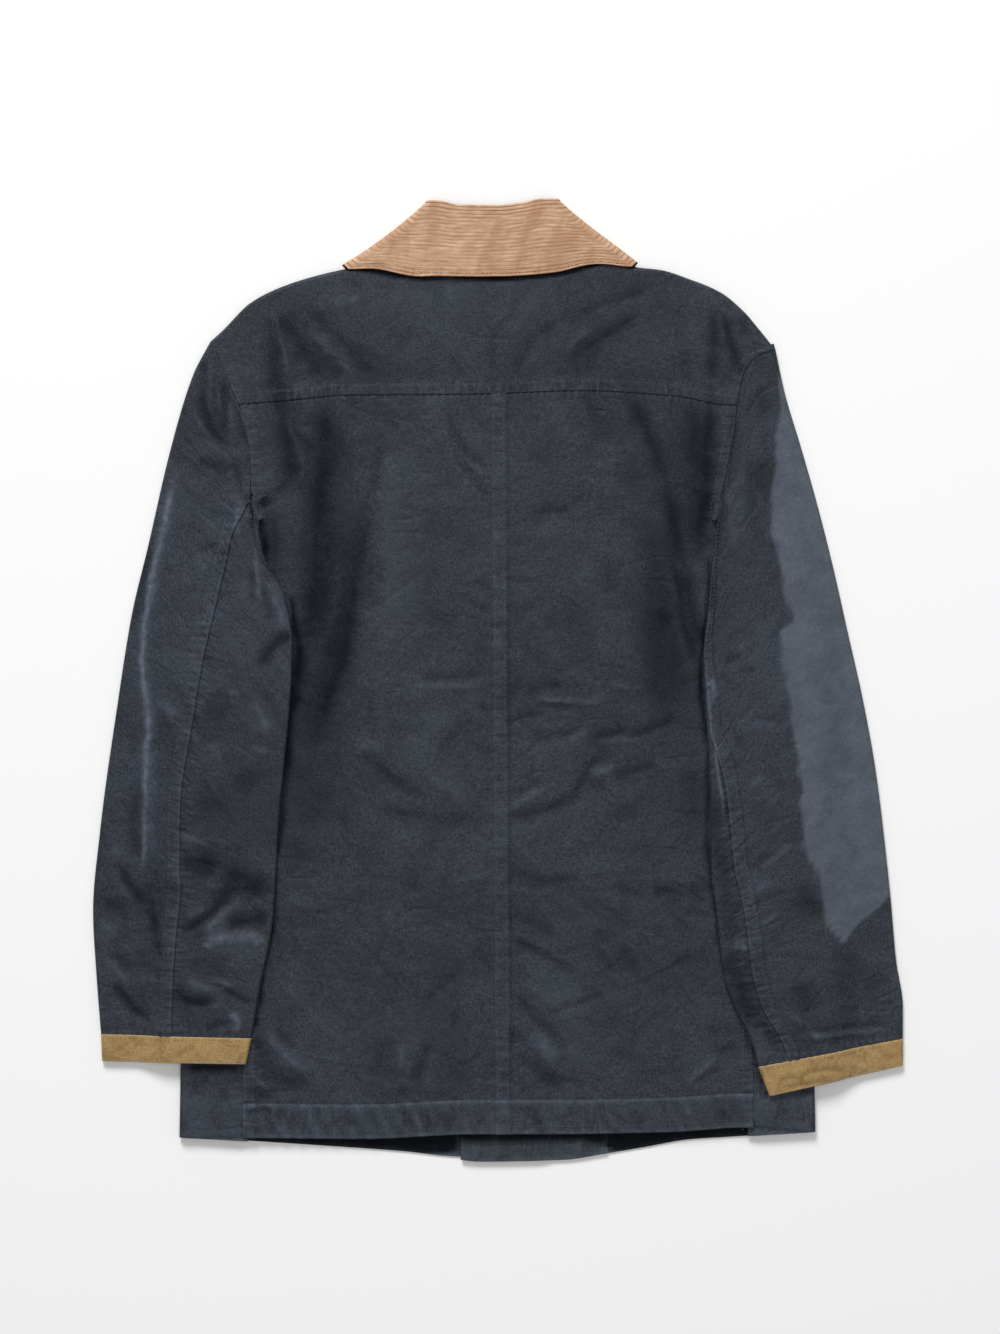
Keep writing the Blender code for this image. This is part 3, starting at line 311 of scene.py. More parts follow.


# ---------------------------------------------------------------- creases, placed one by one

# A row is half the crease's width, its height, its lean if it has one, and then x,y of each
# point of its path.

# Folds that run over the back and the yoke alike
BACK_CREASES = [
    # left: from the shoulder down past the armhole
    (7.5, -2.2, -200,325, -197,290, -195,262, -190,235, -187,212, -184,195, -182,180, -190,168,
     -203,157, -208,148), (6, -1.8, -207,160, -203,150), (3, 1.2, -199,327, -193,308, -188,290,
     -184,262), (2, 1.3, -190,240, -184,225, -179,208, -172,192, -170,184, -173,176, -183,167),
    (8, -1.9, -196,327, -188,315, -178,300, -168,285, -158,270, -150,258), (6, -1, -150,287,
     -137,260), (9, -2.1, -152,254, -152,225, -152,205, -153,185, -156,165, -157,140, -158,120),
    (12, -2.1, -157,150, -158,120, -160,95, -162,70, -164,50, -166,35, -168,18),
    (6, -1.3, -178,328, -160,318, -145,305, -132,292, -120,278, -108,268, -98,260),
    (5, 0.8, -175,312, -158,298, -145,285, -130,272, -120,262), (4, -0.7, -130,252, -127,226),
    (2.5, -1.4, -180,217, -170,210, -160,203), (2, 0.8, -178,221, -158,205), (4, -1, -104,207,
     -107,180, -110,158), (10, -2.3, -0.35, -112,174, -115,150, -117,130, -121,105, -127,80,
     -129,60, -131,40, -135,20, -143,0, -150,-20, -156,-40, -161,-60, -168,-80),
    (7, -0.8, -109,114, -111,85, -112,56), (4, 0.8, -143,112, -141,90, -143,70, -147,50, -150,33),
    (22, -0.8, -168,-62, -165,-100, -160,-138), (3, -2, -213,152, -208,130, -206,112, -202,98),
    (1.8, 1.2, -207,114, -196,92), (4, -1, -196,152, -195,115, -193,98), (30, -1.2, -150,272,
     -150,180, -148,80, -158,-30, -168,-110), (26, 0.5, -96,230, -98,120, -92,10),
    (28, 0.35, 58,-262, 66,-345), (26, 0.3, -84,-276, -64,-362), (20, 0.3, -60,-20, -62,-90),
    (26, -1, 168,275, 168,180, 160,80, 160,0, 168,-110),
    # left: from the centre seam
    (2.6, -1.1, -42,250, -40,225, -33,205, -24,195, -12,187, -3,181), (2.2, -1, -40,200, -28,185,
     -18,173, -10,163, -4,157), (2, -0.7, -30,247, -20,230, -7,215), (3, 0.6, -36,202, -24,190,
     -11,177), (4, -0.6, -137,348, -118,345), (4, -0.7, -3,314, -4,290, -4,266), (4, 0.6, -147,327,
     -118,336), (5, 0.5, -42,348, -40,328), (4, -0.4, -100,298, -58,302), (4, -1.1, -8,7, -30,4,
     -50,2, -70,1), (2.5, -0.7, -66,-3, -97,-6), (2.5, 0.8, -99,-9, -90,-4, -40,-6, -6,-4),
    (7, -0.8, -99,-44, -80,-42, -66,-51), (4, -0.8, -20,-34, -35,-45, -45,-55, -54,-65),
    (3, -0.7, -27,-34, -6,-46), (3, -0.6, -17,-21, -6,-29), (3, -0.5, -20,-57, -6,-71),
    (4, -1.4, -122,-64, -108,-74, -95,-85, -85,-93, -75,-100, -58,-103), (4, 0.8, -127,-61,
     -112,-58, -102,-67), (6, -1, -120,-107, -100,-115, -80,-118, -60,-122, -40,-125, -20,-124,
     -6,-133), (5, 0.6, -67,-78, -45,-95, -23,-112), (3, -0.6, -32,-87, -6,-109), (4, -0.5, -67,59,
     -38,47), (3, -0.8, -33,74, -6,58), (3, -0.7, -23,86, -6,81), (2.5, -0.5, -54,107, -63,70),
    (4, -0.4, -23,25, -6,22), (2, 0.7, -138,87, -139,68), (12, -0.8, -186,-138, -180,-155,
     -174,-174), (4, -0.6, -192,-218, -165,-215, -148,-211), (3, 0.6, -48,-179, -6,-171),
    (3, -0.7, -84,-177, -66,-187), (6, -0.5, -63,-207, -32,-212), (5, -0.6, -22,-233, -6,-252),
    (3.5, -1, -28,-253, -40,-262, -52,-272, -62,-282, -69,-294), (2.5, -0.8, -37,-288, -38,-312),
    (4, -1.4, -58,-317, -66,-332, -70,-345, -77,-357), (3, -0.8, -78,-359, -92,-369),
    (3, 0.6, -85,-318, -85,-347), (8, -0.5, -103,-313, -103,-352), (6, -0.6, -51,-323, -35,-345,
     -29,-362), (3, -0.6, -12,-343, -10,-367), (2, -0.6, -5,-323, -4,-352), (8, -1.5, -215,-316,
     -206,-332, -200,-345, -190,-352, -175,-355, -162,-359), (5, 0.9, -211,-307, -198,-318,
     -188,-328, -175,-340, -158,-351), (4, -1, -196,-303, -186,-315, -179,-328),
    (3, -1.6, -216,-313, -207,-323), (2.5, 1, -219,-338, -210,-352, -199,-363),
    (3, -1.1, -221,-359, -210,-365, -198,-366), (2, -0.5, -151,-373, -145,-362, -128,-351),
    # left: on the turned hem
    (4, -0.9, -181,-379, -172,-396), (2.5, -0.9, -136,-380, -127,-396), (3, -0.8, -83,-378,
     -78,-394), (4, -0.9, -67,-378, -54,-397), (3, -0.6, -45,-378, -42,-397), (2.5, -0.8, -21,-376,
     -13,-392), (2, 0.6, -74,-380, -66,-394), (2, 0.6, -128,-378, -120,-394),
    # right: the yoke
    (4.5, -1.2, 13,262, 19,278, 26,292, 38,304, 60,315), (6, -1.2, 48,311, 75,322, 95,330, 115,336,
     142,344), (5.5, -1.8, 61,270, 66,280, 76,290, 88,298, 100,306, 115,315, 132,323),
    (4, -1, 78,266, 82,280, 92,292), (3, 0.7, 58,286, 72,300, 85,308), (5, -0.6, 128,321, 152,331),
    (4, -1, 165,292, 167,258), (6, -1.9, 192,332, 190,315, 190,300, 190,285, 188,270, 187,255),
    (2, 1, 194,329, 197,310, 200,293), (4, -2.4, 196,327, 201,310, 205,295, 210,280, 215,262),
    (5, -1.3, 212,320, 219,300),
    # right: below the yoke
    (10, -0.6, 80,248, 88,225, 90,196), (4, -0.9, 74,252, 82,240, 89,228), (3, -0.9, 107,270,
     113,252), (6, -2.2, 111,255, 120,240, 128,225, 134,210, 140,195, 146,178, 150,160),
    (6, -2.2, 147,176, 150,160, 153,140, 156,120, 158,98), (7.5, -2.4, 188,264, 187,245, 185,220,
     183,195, 184,170, 181,150, 178,130, 178,112, 185,94), (6, -1.4, 173,247, 172,225, 171,205,
     171,183), (3, 0.5, 198,247, 197,225, 198,203), (3, -1, 206,242, 206,215, 203,198),
    (3, 0.8, 195,182, 193,160, 188,135, 184,114), (12, -0.8, 114,204, 120,170, 130,140, 136,106),
    (9, -0.9, 132,127, 141,92), (2, -0.9, 160,122, 166,93), (3, -1.2, 31,145, 45,148, 58,148,
     67,153), (2.5, -0.6, 20,148, 37,149), (3, -0.5, 59,146, 70,158, 82,171), (2, -0.7, 26,201,
     47,186), (3, -0.6, 10,117, 30,122), (2, -0.8, 163,159, 180,169), (2.5, -1, 8,87, 35,86,
     40,91), (4, -0.7, 8,56, 20,63, 34,64), (4, -0.5, 34,61, 52,43), (3, -0.5, 8,30, 20,28),
    (2.5, -0.8, 21,33, 30,22, 39,9), (2, -0.6, 45,4, 60,10, 82,19), (4, -0.9, 6,-19, 15,-8, 21,7),
    (4, -1.2, 20,-16, 32,-8, 45,-5, 62,-5), (2, 0.9, 28,-17, 60,-18, 100,-22), (2, -1.2, 30,-21,
     50,-23, 72,-26), (4, -1, 6,-41, 18,-34, 28,-30, 47,-28), (4.5, -1.1, 23,-56, 45,-50, 60,-48,
     80,-42), (3, 0.9, 60,-57, 70,-50, 80,-45), (4, -1.5, 78,-52, 90,-50, 105,-47, 117,-39),
    (4.5, -2, 110,-51, 125,-47, 138,-42, 150,-36, 156,-26), (2, 0.9, 86,-54, 110,-54, 132,-50),
    (3, -0.9, 84,-56, 95,-64, 107,-69), (17, -1.2, 0.25, 138,118, 136,80, 138,50, 140,20, 142,-10,
     147,-38), (7, -0.8, 142,65, 151,48), (4, -0.7, 96,108, 98,72), (2, 0.8, 111,102, 123,86),
    (2, 0.8, 100,-3, 119,-9), (2, 0.8, 117,-6, 133,-10), (3, -1.7, 151,112, 157,90, 160,70, 163,50,
     168,35, 172,20, 178,6), (5, -1.6, 162,98, 168,75, 172,55, 177,40, 180,26), (3.5, 0.6, 147,103,
     155,75, 160,50, 163,30, 168,10, 173,-12), (3, 0.5, 172,110, 177,90, 179,70, 180,48),
    (10, -0.9, 172,-72, 172,-100, 173,-133), (3.5, -1.6, 102,-70, 90,-71, 80,-76, 75,-85, 70,-95,
     66,-105, 61,-117), (5, -1.7, 8,-127, 20,-120, 35,-116, 50,-112, 67,-99), (4, 0.9, 8,-116,
     25,-105, 44,-94), (3.5, -0.9, 13,-106, 28,-95, 42,-89), (4, 0.8, 78,-86, 95,-80, 107,-74),
    (5, -1.3, 100,-91, 115,-82, 130,-78, 142,-71), (5, -0.7, 78,-91, 97,-97), (3, 0.5, 118,-89,
     142,-77), (2, -0.5, 27,-58, 30,-75, 25,-94), (8, -0.5, 103,-114, 127,-121),
    # right: low, from the centre seam and the side
    (4, -1.4, 7,-166, 25,-172, 40,-176, 55,-177, 62,-174, 70,-175, 80,-179), (1.8, -0.7, 8,-172,
     22,-181, 62,-181), (5, -1.2, 98,-179, 110,-184, 120,-188, 132,-191), (5, -1.4, 133,-188,
     148,-186, 160,-190, 167,-193), (5, -1, 166,-189, 180,-184, 190,-184), (2.5, -1, 78,-192,
     90,-198, 100,-203, 110,-212, 119,-222), (3, -0.8, 84,-220, 93,-234), (3, -1.1, 80,-230,
     90,-240, 98,-250, 105,-262), (5, -0.7, 107,-233, 115,-250, 123,-264), (3, -0.9, 8,-204,
     25,-212, 40,-220, 57,-233), (4, -1.3, 5,-222, 20,-230, 35,-238, 50,-248, 60,-255, 77,-263),
    (2, 0.7, 8,-219, 30,-229, 52,-241), (3, -0.5, 13,-254, 26,-266), (4, -1.4, 10,-273, 22,-285,
     32,-296, 42,-306, 52,-318, 63,-327), (2.2, -0.8, 38,-296, 60,-288, 80,-281, 100,-275),
    (4, -1.2, 11,-307, 19,-320), (5, -1.5, 15,-323, 26,-334, 36,-344, 48,-354, 60,-361),
    (7, 0.8, 33,-306, 45,-328, 52,-338), (3, -0.8, 41,-344, 55,-352, 70,-354, 82,-361),
    (3, -0.5, 20,-343, 22,-364), (3, -0.8, 168,-356, 180,-350, 190,-345, 202,-341),
    (3, 0.9, 163,-359, 175,-348, 185,-338, 196,-323), (5, -0.9, 183,-331, 200,-325, 214,-321),
    (5, -0.7, 178,-305, 190,-308, 215,-308), (3, -1.1, 163,-202, 180,-206, 190,-208),
    (6, -0.7, 166,-190, 182,-196), (6, -0.7, 148,-251, 170,-246, 192,-243), (5, -0.6, 183,-281,
     195,-276, 202,-281), (2.5, -1, 19,-374, 41,-393), (2, -0.7, 29,-389, 43,-399),
    (3, 0.7, 159,-372, 170,-384), (3, -0.6, 120,-376, 128,-392), (2.5, -0.7, 196,-376, 204,-390),
    # beside the side seams, below the cuffs
    (5, -0.9, -277,-342, -238,-345), (4, -0.6, -272,-359, -253,-349), (2.5, -1.2, -252,-373,
     -237,-362), (2.5, -0.9, -253,-376, -242,-396), (2.5, -1.2, -223,-379, -205,-377, -194,-382),
    (3, -0.8, -196,-379, -189,-393), (2.5, -0.9, 246,-372, 254,-386), (3, -0.6, 262,-370,
     268,-392),
]

# Painted shadows, which add no height: beside the sleeves' inner edges and below the cuffs' edges
# (the one under the collar's edge is painted in yoke_relief)
GAP_SHADOWS = [
    (7, -1.7, -207,170, -204,150, -202,132, -200,114, -195,98, -188,84), (2.2, -2.6, -211,146,
     -208,132, -205,118, -202,104, -196,90, -188,78, -183,68), (2, -4, -182,76, -181,62, -179,48),
    (3.4, -4, -181,56, -176,35, -174,20), (5.4, -4, -176,34, -174,20, -176,8, -179,-10, -182,-30),
    (4, -4, -178,-2, -182,-30, -184,-60, -186,-80), (3.6, -4, -183,-50, -186,-80, -188,-100,
     -189,-118), (2.8, -4, -188,-104, -189,-120, -192,-140, -197,-160), (2.4, -4, -194,-146,
     -198,-160, -196,-180, -196,-200), (1.9, -4, -196,-184, -196,-205, -198,-220, -203,-240,
     -206,-260), (2, -4, -204,-248, -207,-265, -209,-280, -212,-293, -215,-306),
    (3, -3.5, -212,-294, -214,-304), (2.2, -3.5, -214,-298, -218,-312, -219,-322),
    (6, -0.9, -193,-182, -195,-220, -198,-250, -203,-286), (1.6, -3.4, 184,114, 186,95, 184,70,
     182,50, 180,30), (1.7, -4, 182,52, 179,22, 178,4, 179,-20), (2.2, -4, 178,2, 179,-20, 182,-40,
     185,-60), (2, -4, 182,-44, 185,-65, 184,-90, 184,-120, 185,-146), (2.9, -4, 184,-124,
     184,-145, 186,-165, 189,-185, 191,-205), (2.2, -4, 189,-186, 192,-206, 194,-225, 197,-242),
    (2, -4, 195,-230, 199,-255, 204,-272, 210,-290), (2.1, -4, 206,-280, 214,-300, 220,-318),
    (2.5, -4, 217,-310, 222,-322, 227,-337, 229,-348), (1.6, -4, 228,-342, 231,-352, 235,-362,
     239,-368), (2.6, -4, -278,-339, -250,-339.6, -219,-339), (2.1, -4, 236,-366.5, 256,-364.4,
     278,-360),
]

SLEEVE_CREASES = {
    -1: [
        # gathered where the head turns down from the shoulder
        (3.5, -2, -263,254, -255,228, -245,212, -231,200), (3, -1.2, -258,282, -258,262, -263,238),
        (2.6, -1, -249,272, -250,245, -248,222), (3.5, -1.7, -240,270, -241,250, -241,225,
         -239,207), (3, -1, -241,263, -234,270, -228,284), (2.6, -1.3, -238,253, -229,238,
         -224,222, -223,207), (3, 0.9, -250,278, -253,250, -250,230), (2.2, 0.7, -246,262,
         -244,233), (3, 0.8, -236,247, -234,217), (2, -0.9, -233,202, -221,219),
        (6, -1.3, -264,196, -256,188, -240,187, -231,191), (3, -1.2, -233,197, -228,175, -220,158,
         -215,146), (3, 1, -228,155, -229,125), (2, 0.9, -227,145, -215,142), (1.8, -0.9, -264,112,
         -250,118, -244,119), (2, -0.8, -248,110, -238,110), (3, -0.8, -237,117, -240,100),
        # the ridge down the outer side
        (3.6, 1.9, -282,186, -288,160, -292,138, -297,118, -302,95, -306,72, -310,50),
        (3.4, 1.9, -297,118, -302,95, -307,66, -311,48, -312,20, -311,-6, -308,-30, -306,-45,
         -309,-62, -310,-85, -310,-110), (2.4, 1.5, -309,-62, -310,-85, -310,-110, -310,-135,
         -312,-158, -315,-178), (5, -0.9, -303,128, -309,100, -316,70, -321,40), (4, -1, -319,-86,
         -319,-130, -317,-166), (4, 0.4, -303,-50, -303,-110, -302,-172),
        # the elbow
        (5, 0.5, -222,90, -222,66), (2.4, 1, -213,122, -212,100, -210,80, -206,60),
        (2, -0.8, -216,98, -216,66), (3, -0.7, -205,84, -202,65, -200,46), (5, 0.9, -200,92,
         -195,70, -190,50, -186,38), (3.8, -3, -209,8, -203,20, -198,29, -188,36, -179,38),
        (4, -1, -197,34, -181,39), (3, -0.8, -259,22, -253,12, -246,7), (5, 0.8, -302,-20,
         -290,-25, -280,-34), (11, -0.7, -260,-28, -236,-34), (6, 0.5, -252,-52, -242,-71),
        (2.4, 0.8, -236,-10, -226,-12), (5, 0.8, -214,-16, -206,-35, -198,-48),
        (2.4, 0.6, -217,-59, -201,-65), (11, -0.8, -230,-82, -213,-97), (10, -0.6, -268,-115,
         -233,-104), (1.8, -1, -282,-131, -266,-135), (4, 0.9, -278,-138, -253,-146),
        (2.4, -0.7, -242,-148, -223,-150), (9, -1.8, -281,-161, -262,-164, -246,-168),
        (8, -1.9, -242,-168, -222,-174, -203,-184), (3, 0.6, -260,-177, -243,-183),
        (10, -0.8, -270,-160, -215,-162),
        # above the cuff
        (6, -2.2, -252,-204, -240,-191, -232,-185, -218,-183, -205,-186, -199,-193),
        (2.4, -2.6, -280,-223, -268,-216, -258,-210, -248,-203, -238,-193), (4, 0.7, -275,-207,
         -256,-202), (3.5, 1, -260,-224, -245,-210, -236,-202, -224,-196), (6, -2.6, -240,-216,
         -225,-213, -212,-210, -200,-212), (6, 1.3, -262,-229, -240,-227, -225,-226, -203,-220),
        (3.5, 1, -214,-232, -203,-226), (2, 1.2, -260,-230, -250,-236), (9, -0.7, -273,-247,
         -250,-252, -234,-256), (4, 0.8, -274,-260, -262,-270, -248,-272), (2.2, 0.9, -257,-261,
         -240,-266, -232,-272, -220,-281), (2.6, -2, -242,-271, -232,-275, -225,-280, -216,-285),
        (4.5, -2.6, -284,-268, -275,-280, -262,-284, -246,-281), (5, 0.6, -272,-290, -238,-285),
        (2.8, 1.4, -240,-292, -230,-296, -228,-302, -233,-310), (3, -1.1, -258,-309, -245,-302,
         -236,-306), (5, 0.6, -342,-148, -330,-157), (2.8, -1.9, -334,-160, -326,-175, -318,-188,
         -308,-199), (8, -0.8, -348,-199, -322,-206), (4, -1.7, -307,-190, -303,-210, -300,-228,
         -295,-250), (8, 0.7, -354,-214, -330,-222), (4, 0.8, -347,-243, -335,-255, -323,-272),
        (6, -0.8, -347,-239, -330,-248, -320,-264), (3.4, -2.1, -340,-266, -330,-278, -322,-287,
         -312,-294, -302,-300), (4, 0.5, -322,-262, -298,-262), (8, -0.7, -313,-178, -295,-185,
         -278,-180),
    ],
    1: [
        # the crumple on the armhole and the gathers below it
        (2, 1.4, 187,185, 194,192, 202,194), (3, 0.9, 194,192, 194,172, 193,150, 189,136, 185,112),
        (3.2, -1, 199,187, 197,165, 196,145, 193,125, 190,103), (10, 0.5, 215,195, 213,160,
         210,140, 206,106), (9, -0.7, 232,197, 233,160), (5, -0.6, 206,188, 205,162),
        (6, -0.5, 232,264, 234,198), (3.5, -1, 188,94, 189,75, 185,56),
        # the elbow
        (2.8, -1.1, 197,15, 206,20, 214,23), (3, -1.1, 209,7, 220,9, 228,12), (4, 0.6, 203,25,
         218,29), (4, -0.6, 193,3, 208,-1), (3, 1.5, 187,2, 190,-8, 191,-20), (6, -0.6, 216,-46,
         212,-64), (1.8, -0.9, 223,-34, 235,-33, 252,-38), (3, 0.6, 222,-38, 248,-40),
        (2.2, -0.7, 203,-40, 217,-57), (2.4, 0.6, 219,-97, 234,-83), (8, -0.6, 238,-112, 224,-126),
        (5, -0.6, 240,-76, 251,-98), (3, -0.9, 220,-167, 232,-158, 242,-148), (2.2, 0.8, 231,-168,
         245,-155, 257,-143), (8, -0.9, 263,-176, 272,-195, 279,-213), (2.2, 0.6, 228,-217,
         247,-203), (3, 0.8, 197,-177, 210,-171), (3.5, 1, 205,-233, 222,-236),
        (2.4, -0.8, 222,-200, 240,-190, 258,-184), (2.2, 0.6, 225,-186, 242,-178),
        # the ridge beside the back seam
        (2, 1.4, 181,24, 184,-10, 187,-40, 192,-70, 196,-100, 201,-142),
        # the under piece in the shade
        (7, -1, 188,-96, 191,-130, 196,-170), (8, -1.1, 197,-150, 203,-200, 205,-238),
        (11, -1.7, 201,-232, 208,-252, 214,-272, 221,-292, 228,-310), (4, -1.4, 228,-296, 238,-310,
         248,-325), (5, 0.5, 224,-326, 238,-332),
        # above the cuff
        (12, -0.9, 266,-264, 276,-294), (3, -1, 253,-298, 268,-306, 285,-308, 300,-306, 320,-304,
         354,-303), (3, 0.8, 262,-309, 290,-312, 310,-310, 350,-308), (2.6, -0.9, 272,-319,
         295,-317, 310,-315, 334,-315), (2.2, 0.8, 253,-288, 265,-300, 280,-312, 292,-321),
        (3, 0.5, 349,-200, 351,-250, 354,-300), (9, -0.5, 300,-240, 325,-262), (5, -0.6, 316,-272,
         346,-262),
    ],
}

CUFF_CREASES = {
    -1: [(2.4, -0.6, -342,-330, -322,-317), (2.4, 0.6, -310,-333, -293,-315),
         (2.4, -0.6, -285,-332, -263,-319), (2.4, 0.6, -262,-333, -246,-317)],
    1: [(2.4, -0.7, 349,-335, 326,-319), (2.4, 0.7, 328,-343, 300,-329),
        (2.4, -1.1, 312,-346, 296,-341, 262,-347), (2.2, -0.8, 290,-352, 246,-358),
        (2.4, 0.7, 284,-353, 262,-339)],
}

COLLAR_CREASES = [
    (6, 1.0, 40,414, 58,394, 73,370), (5, -0.9, 56,420, 70,402, 85,376),
    (10, 0.6, -71,402, -55,386, -39,360), (14, 0.5, -21,416, -10,390, 11,358),
    (5, 0.6, 89,389, 109,369), (5, 0.6, -113,373, -83,359),
]

# How far below the back's hem the painted shadow reaches, at each x
HEM_SHADE = [(-280, 1.0), (-228, 1.5), (-218, 14.0), (-40, 16.0), (-31, 5.0), (20, 5.2),
             (60, 6.4), (88, 8.0), (104, 16.0), (240, 16.0), (252, 2.0), (280, 1.0)]

# The edge of the paler cloth on the right sleeve, from the armhole down
PATCH_EDGE = [(246, 275), (247, 258), (249, 240), (245, 220), (243, 187), (240, 160),
              (240, 142), (243, 122), (248, 100), (250, 80), (255, 64), (259, 52), (247, 42),
              (249, 20), (252, 0), (256, -20),
              (261, -60), (264, -85), (267, -97), (264, -105), (268, -120), (268, -140),
              (272, -155), (280, -170), (285, -185), (287, -200), (289, -215), (297, -225),
              (303, -233), (309, -223), (318, -212), (330, -203), (340, -195), (345, -190)]


# ---------------------------------------------------------------- surfaces

def neck_share(x, y, start_y, rise):
    """1 round the neck, 0 on the rest of the body."""
    return smoothstep((y - start_y) / rise) * smoothstep((NECK_REACH - np.abs(x)) / NECK_SLOPE)


def neck_raise(x, y):
    """Height that the collar's wings add to what lies on them."""
    return NECK_RAISE * neck_share(x, y, 262.0, 24.0)


def from_armhole(x, y):
    """Distance across from the nearer armhole, positive on the body."""
    return np.where(x < 0, x - x_at(ARMHOLE[-1], y), x_at(ARMHOLE[1], y) - x)


def sleeve_cover(x, y):
    """1 where the body is bare and 0 where a sleeve lies on it."""
    reach = np.where(x < 0, -x_at(SLEEVE_INNER[-1], y), x_at(SLEEVE_INNER[1], y))
    return np.where(y < UNDERARM_Y, smoothstep((reach + 8.0 - np.abs(x)) / 16.0), 1.0)


def centre_x(y):
    """x of the centre back seam."""
    return np.interp(y, (LOW_Y, YOKE_Y), CENTRE_SEAM[::-1])


def lap_edge(away, band, height):
    """Height of a seam's upper layer: level over the band beside its edge, where it lies on
    the seam allowance, then down to the single cloth, and rolled at the edge itself."""
    return height * (1.0 - smoothstep((away - band) / 2.5)) - rolled(away, 0.9)


def rumple(x, y, seed):
    """The cloth's even, shallow unrest: three sizes of soft noise."""
    return (0.55 * soft_noise(x, 0.6 * y, 52.0, seed) + 0.26 * soft_noise(x, y, 21.0, seed + 1)
            + 0.10 * soft_noise(x, y, 9.0, seed + 2))


def fold_tone(folds):
    """Painted shade in a trough, below 0 down to -1, and wear with a painted highlight on a ridge,
    above 0.
    """
    worn = np.minimum(0.17 * folds + 0.085 * folds ** 2, 0.8)
    return np.where(folds < 0, -np.tanh(-0.225 * folds), worn)


def body_relief(x, y, depth):
    """Height of the back and the yoke, and its tone: wear and painted highlight above 0, painted
    shade and painted shadow below.
    """
    base = BACK_TOP + NECK_TOP_RAISE * neck_share(x, y, 255.0, 30.0)
    edge = smoothstep(from_armhole(x, y) / 16.0)
    free = np.where(y > UNDERARM_Y, edge, 1.0) * sleeve_cover(x, y)
    folds = creases(BACK_CREASES, x, y, depth)
    # painted shadows beside the sleeves and below the cuffs: tone only, no height
    gap_shade = creases(GAP_SHADOWS, x, y)
    # over the lapped fronts and the facing there is less room for a trough
    lowest = np.where(x < -36.0, -3.6, np.where(x < 44.0, -1.7, -2.8))
    sunk = np.where(folds < 0, lowest * (1.0 - np.exp(-folds / lowest)), folds)
    height = base + free * sunk + (0.35 + 0.65 * free) * rumple(x, y, 5)
    return height, np.maximum(fold_tone(folds) + fold_tone(gap_shade), -1.0)


def back_relief(x, y, depth, pucker):
    """The back: its hem, centre seam and yoke seam on top of the body's relief."""
    height, tone = body_relief(x, y, depth)
    above_hem = y - y_at(BACK_HEM, x)
    below_yoke = y_at(YOKE_SEAM, x) - y
    # the hem: two layers, stitched at its top, puckered on a slant, with painted light and shade
    # on the puckers
    in_band = smoothstep((HEM_BAND + 3.0 - above_hem) / 5.0)
    slanting = waves(x + 0.45 * above_hem, 14.5, 31)
    height += 0.5 * smoothstep((HEM_BAND + 1.0 - above_hem) / 2.5)
    height -= 0.45 * bell(above_hem - HEM_BAND, 1.1)
    height += 1.8 * pucker * in_band * slanting
    height += 2.0 * pucker * ripple(x, above_hem - HEM_BAND, 7.0, 7.0, 37)
    height -= rolled(above_hem, 1.1)
    tone += 0.08 * in_band * slanting
    tone = tone + 0.34 * bell(above_hem, 3.0) + 0.08 * in_band
    tone += 0.16 * bell(above_hem - HEM_BAND + 1.6, 2.2)
    # the felled centre seam pulls short creases on both sides, with painted light and shade on
    # them
    from_centre = x - centre_x(y)
    height += pucker * ripple(y, from_centre, 12.0, 11.0, 41)
    tone += 0.05 * ripple(y, from_centre, 12.0, 9.0, 41)
    # under the yoke's edge: a drop, puckers with painted light and shade, and a painted shadow
    # line
    height -= smoothstep((1.0 - below_yoke) / 2.0)
    height += 1.6 * pucker * ripple(x, below_yoke, 6.2, 9.0, 43)
    tone += 0.08 * ripple(x, below_yoke, 6.2, 7.0, 43)
    tone -= 0.2 * bell(below_yoke - 0.2, 1.4)
    return height, tone


def yoke_relief(x, y, depth, pucker):
    """The yoke: its lower edge lies over the back and is stitched and puckered."""
    height, tone = body_relief(x, y, depth)
    away = y - y_at(YOKE_SEAM, x)
    beside = bell(away - 5.0, 8.0)
    upright = waves(x, 7.8, 47)
    height += lap_edge(away, YOKE_BAND, 0.45)
    height -= 0.35 * bell(away - YOKE_BAND, 1.1)
    height += pucker * beside * upright
    tone += 0.10 * bell(away, 1.2)
    # painted light and shade on the puckers beside the seam
    tone += 0.06 * beside * upright
    # painted shadow just under the collar's edge, and a paler place below its left half
    below_collar = y_at(COLLAR_EDGE, x) - y
    collar_shadow = bell(below_collar - 0.8, 2.4, 4)
    collar_shadow = collar_shadow * (x > COLLAR_EDGE[0][0]) * (x < COLLAR_EDGE[-1][0])
    pale = 0.12 * np.exp(-((x + 55.0) / 48.0) ** 2 - ((y - 336.0) / 20.0) ** 2)
    return height, tone + pale - 1.1 * collar_shadow


def armhole_lap(x, y, pucker):
    """What the armhole seam adds to the body's edge: a stitched lap, puckered along it."""
    away = np.where(y > UNDERARM_Y - 2.0, from_armhole(x, y), BODY_FAR)
    height = lap_edge(away, ARM_BAND, 0.5) + 0.8 * pucker * ripple(y, away, 9.0, 11.0, 53)
    height -= 0.3 * bell(away - ARM_BAND, 1.2)
    # worn along the edge and its band, and painted light and shade on the puckers
    tone = 0.08 * bell(away, 1.3) + 0.05 * smoothstep((10.0 - away) / 3.0)
    return height, tone + 0.06 * ripple(y, away, 9.0, 9.0, 53)


# ---------------------------------------------------------------- meshes

def grid_faces(rows, columns):
    """Quads of a grid of points, row by row."""
    first = np.arange(rows * columns).reshape(rows, columns)
    return np.stack([first[:-1, :-1], first[:-1, 1:], first[1:, 1:], first[1:, :-1]], axis=-1)


